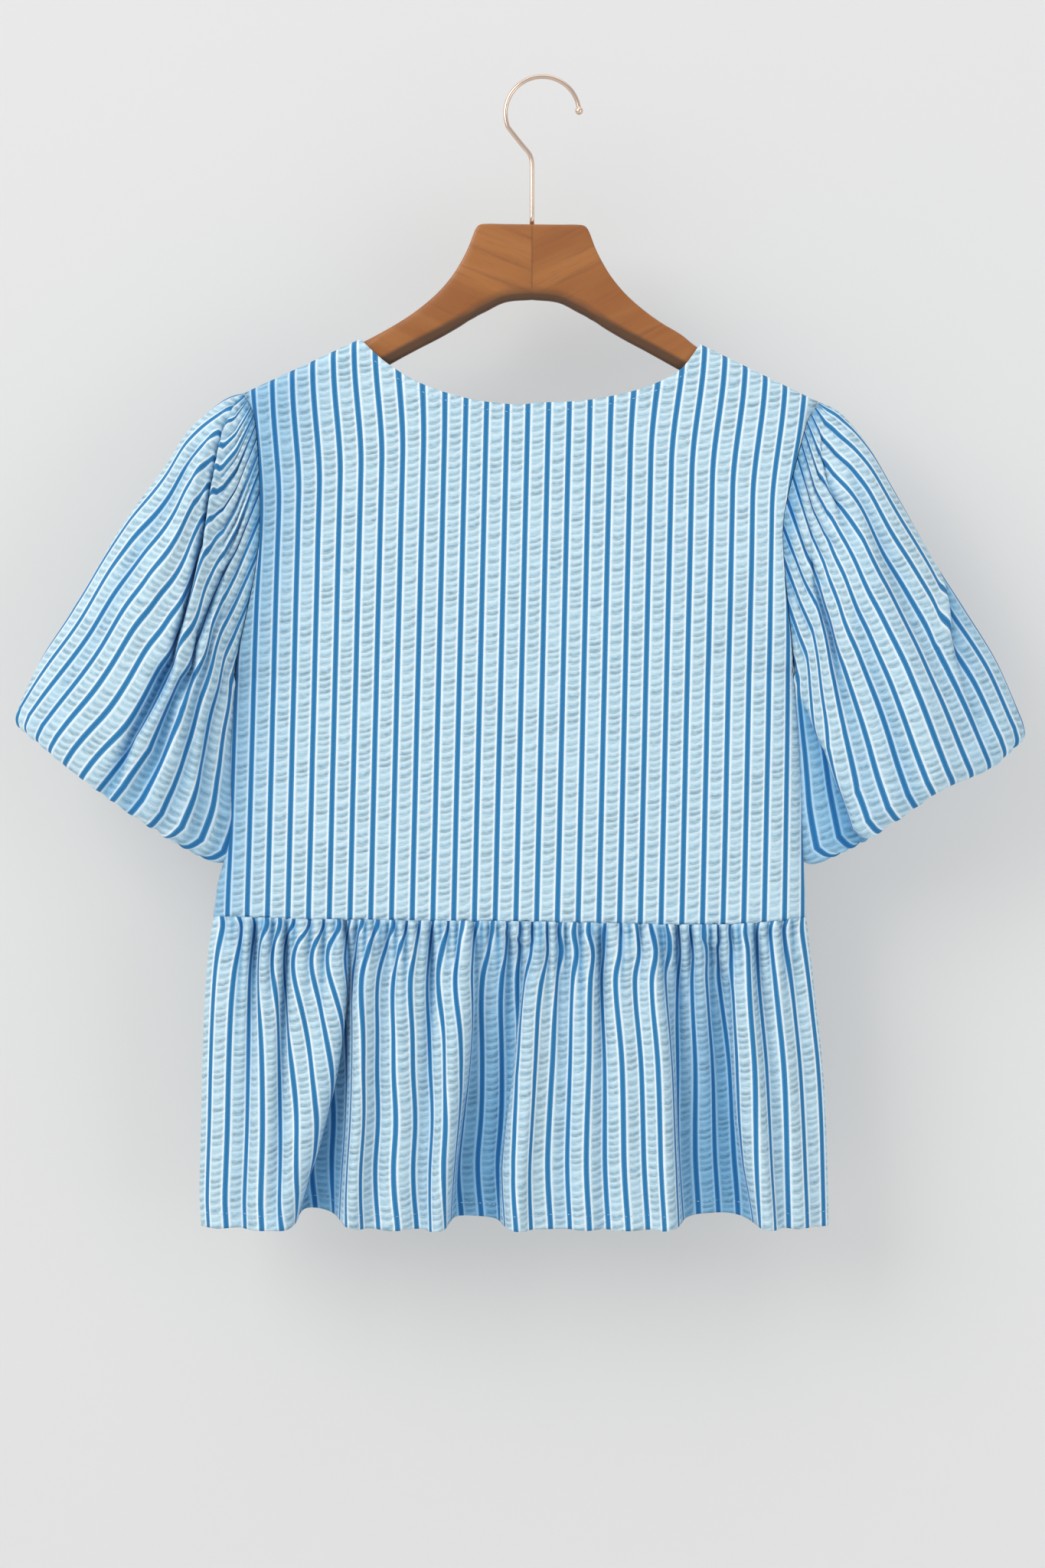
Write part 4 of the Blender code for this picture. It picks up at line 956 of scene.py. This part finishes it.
def peplumSection(share, recesses, ridges, gathers):        # the peplum cut at one height
    left, right = (float(read(peplumSides, column, np.array([share]))[0]) for column in (1, 2))
    t = mix(left, right, np.linspace(0, 1, peplum["samples"]))
    out = np.abs(2 * (t - left) / (right - left) - 1)
    full = sectionFull(out, peplum["flat"])
    acrossWaist = np.linspace(0, 1, 800)
    seamAt = mix(waistLeft, waistRight, (t - left) / (right - left))
    seamFull = np.interp(seamAt, waistX(acrossWaist),
                         sectionFull(np.abs(2 * acrossWaist - 1), body["flatWaist"]))
    rise = float(ease(np.array(share * 1.1)))
    depth = mix((body["wrapRadius"] + body["waistSwell"]) * seamFull, peplum["swell"] * full, rise)
    shift, fold, dark = (np.zeros_like(t) for index in range(3))
    for recess in recesses:
        edgeL, edgeR, deep, leanL, leanR = (route(recess, share, index) for index in range(1, 6))
        soft = 1.3 + 0.6 * share
        inside = window(t, edgeL, edgeR, soft, soft)
        fold -= deep * inside
        fold += 0.28 * deep * (hump((t - edgeL + 7) / 7) + hump((t - edgeR - 7) / 7))
        shift += leanL * hump((t - edgeL + 1.5) / 4.5) - leanR * hump((t - edgeR - 1.5) / 4.5)
        # painted shade in the recess behind the lobes
        dark += inside * deep / 17
    for start, end, startWidth, endWidth, startHeight, endHeight in ridges:
        centre, width = mix(start, end, share), mix(startWidth, endWidth, share)
        height = mix(startHeight, endHeight, share) * min(share / 0.08, 1)
        fold += peplum["relief"] * height * hump((t - centre) / width)
        # painted shade in the shallow troughs
        dark += max(-height, 0) / 7.5 * hump((t - centre) / width)
    for place, width, deep, far in gathers:
        drift = place + (place + 22) * 0.05 * share
        fade = math.exp(-(share / far) ** 1.5) * (0.5 + 0.5 * min(share / 0.02, 1))
        beside = (np.abs(t - drift) - 2.1 * width) / (width * 1.1)
        fold += peplum["gatherRelief"] * deep * fade * (
            0.5 * hump(beside) - hump((t - drift) / (width * (1 + share))))
        # painted shade between the waist gathers
        dark += 1.6 * fade * hump((t - drift) / (width * 0.85))
    side = np.minimum(1.0, full * 1.5)
    return t, t + shift * side, body["sideGap"] + depth + fold * side, fold * side, dark * side


def bendPeplum(facing, recesses, ridges, gathers, rises, pattern):
    def section(level):
        share = float(peplumFall(level))
        t, x, depth, fold, dark = peplumSection(share, recesses, ridges, gathers)
        seam = read(waistSeam, 1, np.clip(x, waistLeft, waistRight)) - peplum["seamDrop"]
        z = mix(seam, peplum["hemZ"] - peplum["hemDip"] * np.clip(fold, 0, 7) * share, share)
        for left, right, softLeft, softRight, rise in rises:
            z = z + rise * share ** 3 * window(t, left, right, softLeft, softRight)
        return np.stack((x, facing * depth, z, dark), axis=1)

    def bend(u, v):
        laid, length = layRows(section, u, v, peplum["settle"])
        x, y, z, dark = laid.T
        tuck = hump(v / 0.010)
        hem = hump((v - 0.966) / 0.006)
        y = y - facing * (1.6 * tuck + 0.35 * hem)
        stripes = u * peplum["stripes"] + pattern
        along = peplumFall(v) * peplum["flatLength"] / stripePitch
        cloth = np.stack((stripes, -along), axis=1)
        # painted shade also along the tucked waist seam
        return np.stack((x, y, z), axis=1), cloth, np.maximum(dark, 0.6 * tuck)
    return bend


# Small stitches along a line

stitchLook = {"length": 2.1, "radius": 0.2, "pitch": 3.3}


def makeStitches(name, bend, first, last, level, away, finish):     # one row of them across a sheet
    u = np.linspace(first, last, 900)
    line = bend(u, np.full_like(u, level))[0]
    line[:, 1] += away
    length = arcAlong(line)
    places = np.arange(stitchLook["pitch"] / 2, length[-1], stitchLook["pitch"])
    centres, ahead = (np.stack([np.interp(at, length, line[:, axis]) for axis in range(3)], axis=1)
                      for at in (places, places + 0.8))
    size = Matrix.Diagonal((stitchLook["length"] / 2, stitchLook["radius"], stitchLook["radius"], 1))
    bm = bmesh.new()
    for centre, after in zip(centres, ahead):
        turn = Vector(after - centre).to_track_quat("X", "Z").to_matrix().to_4x4()
        place = Matrix.Translation(Vector(centre))
        bmesh.ops.create_uvsphere(bm, u_segments=6, v_segments=4, radius=1,
                                  matrix=Matrix.Scale(mm, 4) @ place @ turn @ size)
    mesh = meshFrom(name, bm)
    mesh.shade_smooth()
    piece = addPiece(name, mesh, finish)
    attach(piece, "root")
    return piece


# Hanger: two wooden halves swept from their glued faces to their ends

hanger = {"x": -7.2, "tilt": 0.0099, "end": 183.0, "reach": 2.5, "seat": 1.4, "wall": 1.4,
          "armHeight": 22.0, "endHeight": 13.0, "endThick": 4.6, "easedHead": 1.8, "easedArm": 3.8,
          "lipShare": 0.45, "faceShare": 0.66, "grid": (40, 170), "sharpAngle": 50}
# The head: out from the glued joint, top, face and lip, half thickness
hangerStations = (
    (0, -101.8, -148, -154, 6.5), (18.6, -101.8, -150, -156, 6.5), (33, -101.8, -156.5, -163, 6.5),
    (37.4, -103, -158.8, -165.2, 6.5), (40, -107, -160.5, -166.8, 6.5), (44, -117.6, -163, -169, 6.5),
    (50, -129.4, -166.2, -173, 6.4), (56, -138.8, -169.6, -176.6, 6.4), (65.5, -149.9, -174.6, -182, 6.3),
    (78, -160.8, -180.8, -188.5, 6.2), (90, -169.3, -187, -195, 6.1), (104, -177.6, -194.6, -202.6, 6.0))


def armStations(side):
    rows = []
    for out, top, face, lip, thick in hangerStations:
        drop = -hanger["tilt"] * side * out
        rows.append((out, top + drop, face + drop, lip + drop, thick, hanger["easedHead"]))
    start = abs((neckLeft if side < 0 else neckRight)[0] - hanger["x"]) - hanger["reach"]
    for share in np.linspace(0, 1, 6):
        out = mix(start, hanger["end"], share)
        top = float(crown(np.array(hanger["x"] + side * out))) - hanger["wall"] / 2 - hanger["seat"]
        height = mix(hanger["armHeight"], hanger["endHeight"], share)
        thick = mix(hangerStations[-1][4], hanger["endThick"], share ** 2)
        rows.append((out, top, top - height * hanger["faceShare"], top - height, thick,
                     min(hanger["easedArm"], thick - 1)))
    return tuple(rows)


def easedSection(corners, u):       # round a closed section, with its corners eased
    sides = len(corners)
    place = u * sides
    index = np.floor(place).astype(int) % sides
    part = place - np.floor(place)
    t = mix(0.09, 0.91, part)
    pull, push = 0.055 * (1 - part) ** 6, 0.055 * part ** 6
    line = np.zeros_like(u)
    for corner in range(sides):
        before, start, end, after = (corners[(corner + step) % sides] for step in (-1, 0, 1, 2))
        side = mix(start, end, t) + pull * (before - start) + push * (after - end)
        line = np.where(index == corner, side, line)
    return line


def makeArm(name, side, finish):
    mesh, u, v = gridMesh(name, *hanger["grid"])
    rows = armStations(side)
    out = v * hanger["end"]
    top, face, lip, thick, eased = (read(rows, index, out) for index in range(1, 6))
    lipFlat = thick * hanger["lipShare"]
    y = easedSection((-lipFlat, -thick, -thick, -(thick - eased), thick - eased, thick, thick, lipFlat), u)
    z = easedSection((lip, face, top - eased, top, top, top - eased, face, lip), u)
    lipShadeAndJoint = np.maximum(ease((face - z) / 1.6), 0.45 * (out < 0.1))        # painted shade on the underside below the face, and the darker glued joint
    shapeGrid(mesh, np.stack((hanger["x"] + side * out, y, z), axis=1), "lip", lipShadeAndJoint)
    closeUp(mesh, 0.02, fill=True)
    mesh.shade_smooth()
    mesh.set_sharp_from_angle(angle=math.radians(hanger["sharpAngle"]))
    piece = addPiece(name, mesh, finish)
    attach(piece, "root")
    return piece


# Hook: bent wire with a ball tip

hook = {"wire": 3.2, "radius": 25.7, "tip": 5.6, "woodTop": -101.8, "steps": 64, "from": 4, "to": 202,
        "neck": ((-14.0, -46.2), (-9.2, -52.0), (-7.6, -56.0), (-7.2, -61.0), (-7.2, -80.0))}


def makeHook(name, finish):
    ball, wire = hook["tip"] / 2, hook["wire"] / 2
    centre = np.array((0, 0, wire - hook["radius"]))
    turns = np.radians(np.linspace(hook["from"], hook["to"], hook["steps"]))
    bow = centre + hook["radius"] * np.stack((np.cos(turns), 0 * turns, np.sin(turns)), axis=1)
    neck = [(x, 0, z) for x, z in (*hook["neck"], (hanger["x"], hook["woodTop"] + 0.1))]
    line = np.concatenate((bow, neck))
    length = arcAlong(line)
    table = [(at, *point) for at, point in zip(length, line)]
    fine = np.concatenate((np.linspace(0.0, length[-3], 150), np.linspace(length[-3] + 2, length[-1], 8)))
    places = np.stack([read(table, column, fine) for column in (1, 2, 3)], axis=1)
    onward = (places[0] - places[1]) / np.linalg.norm(places[0] - places[1])
    beadTurns = np.pi * (np.arange(14) + 0.5) / 15
    bead = [(places[0] + onward * ball * math.cos(turn),
             max(ball * math.sin(turn), wire if turn > math.pi / 2 else 0.3)) for turn in beadTurns]
    stations = bead + [(place, wire) for place in places if np.linalg.norm(place - places[0]) > ball]
    curve = bpy.data.curves.new(name, "CURVE")
    curve.dimensions = "3D"
    curve.bevel_depth = wire * mm
    curve.bevel_resolution = 7
    curve.use_fill_caps = True
    spline = curve.splines.new("POLY")
    spline.points.add(len(stations) - 1)
    for point, (place, radius) in zip(spline.points, stations):
        point.co = (*(np.asarray(place) * mm), 1)
        point.radius = radius / wire
    shown = addObject(name + "_curve", curve)
    mesh = bpy.data.meshes.new_from_object(shown.evaluated_get(bpy.context.evaluated_depsgraph_get()))
    bpy.data.objects.remove(shown)
    closeUp(mesh, 0.005)
    mesh.name = name
    mesh.shade_smooth()
    mesh.materials.clear()
    piece = addPiece(name, mesh, finish)
    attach(piece, "root")
    return piece


def makeStage(look):
    wall = Matrix.Translation((0, look["wallY"], look["wallZ"])) @ Matrix.Rotation(math.radians(90), 4, "X")
    floor = Matrix.Translation((0, 0, look["floorZ"]))
    for name, place, oneSided in (("wall", wall, True), ("floor", floor, False)):
        bm = bmesh.new()
        bmesh.ops.create_grid(bm, x_segments=4, y_segments=4, size=look["halfSize"], matrix=place)
        finish = plainFinish(name, look["wallColour"], look["wallGlow"], oneSided)
        addPiece(name, meshFrom(name, bm), finish)
    world = bpy.data.worlds.new("studio")
    bpy.context.scene.world = world
    world.use_nodes = True
    sky = world.node_tree.nodes["Background"]
    sky.inputs["Color"].default_value = look["skyColour"]
    sky.inputs["Strength"].default_value = look["skyStrength"]
    bpy.context.scene.view_settings.view_transform = "Standard"


print("camera and lights")
makeCamera(stageLook)
for softbox in softboxes:
    makeSoftbox(*softbox)
makeStage(stageLook)

print("finishes")
cloth = seersucker("seersucker", clothLook)
thread = threadFinish("sewing_thread", threadLook)
woodLeft = woodFinish("honey_wood_left", woodLook, math.radians(-24), 0.0)
woodRight = woodFinish("honey_wood_right", woodLook, math.radians(27), 0.4)
metal = metalFinish("champagne_metal", metalLook)

print("bodice")
bendBack, bendFront = bendBodice(-1, backLines), bendBodice(1, frontLines)
backBodice = makeSheet("back_bodice_cloth", body["backGrid"], bendBack, outTo(-1), body["wall"], cloth)
frontBodice = makeSheet("front_bodice_cloth", body["frontGrid"], bendFront, outTo(1), body["wall"], cloth)
makeStitches("back_neck_stitches", bendBack, *body["neckStitches"], -body["stitchesOut"], thread)
makeStitches("front_neck_stitches", bendFront, *body["neckStitches"], body["stitchesOut"], thread)

print("sleeves")
leftSleevePiece, rightSleevePiece = (
    makeSheet(name, sleeve["grid"], bendSleeve(way), awayFrom(way["middle"]), sleeve["wall"], cloth, True)
    for name, way in (("left_sleeve_cloth", leftWay), ("right_sleeve_cloth", rightWay)))
leftCuff, rightCuff = (
    makeSheet(name, cuff["grid"], bendCuff(way), awayFrom(way["cuffMiddle"]), cuff["wall"], cloth, True)
    for name, way in (("left_cuff_cloth", leftWay), ("right_cuff_cloth", rightWay)))

print("peplum")
frontGathers = spreadGathers(7, 50, -220, 175)
bendBack = bendPeplum(-1, backRecesses, backRidges, backGathers, backRises, peplum["backPattern"])
bendFront = bendPeplum(1, frontRecesses, frontRidges, frontGathers, frontRises, peplum["frontPattern"])
backPeplum = makeSheet("back_peplum_cloth", peplum["backGrid"], bendBack, outTo(-1), peplum["wall"], cloth)
frontPeplum = makeSheet("front_peplum_cloth", peplum["frontGrid"], bendFront, outTo(1), peplum["wall"], cloth)
makeStitches("back_hem_stitches", bendBack, *peplum["hemStitches"], -peplum["stitchesOut"], thread)
makeStitches("front_hem_stitches", bendFront, *peplum["hemStitches"], peplum["stitchesOut"], thread)

print("hanger")
armLeft = makeArm("hanger_left_wood", -1, woodLeft)
armRight = makeArm("hanger_right_wood", 1, woodRight)
hookPiece = makeHook("hook_wire", metal)

for piece, node, slot in (
        (backBodice, "back_bodice", "striped_cotton"), (frontBodice, "front_bodice", "striped_cotton"),
        (leftSleevePiece, "left_sleeve", "striped_cotton"),
        (rightSleevePiece, "right_sleeve", "striped_cotton"),
        (leftCuff, "left_cuff", "striped_cotton"), (rightCuff, "right_cuff", "striped_cotton"),
        (backPeplum, "back_peplum", "striped_cotton"), (frontPeplum, "front_peplum", "striped_cotton"),
        (armLeft, "hanger_left", "hanger_wood"), (armRight, "hanger_right", "hanger_wood"),
        (hookPiece, "hook", "hook_metal")):
    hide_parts(node)
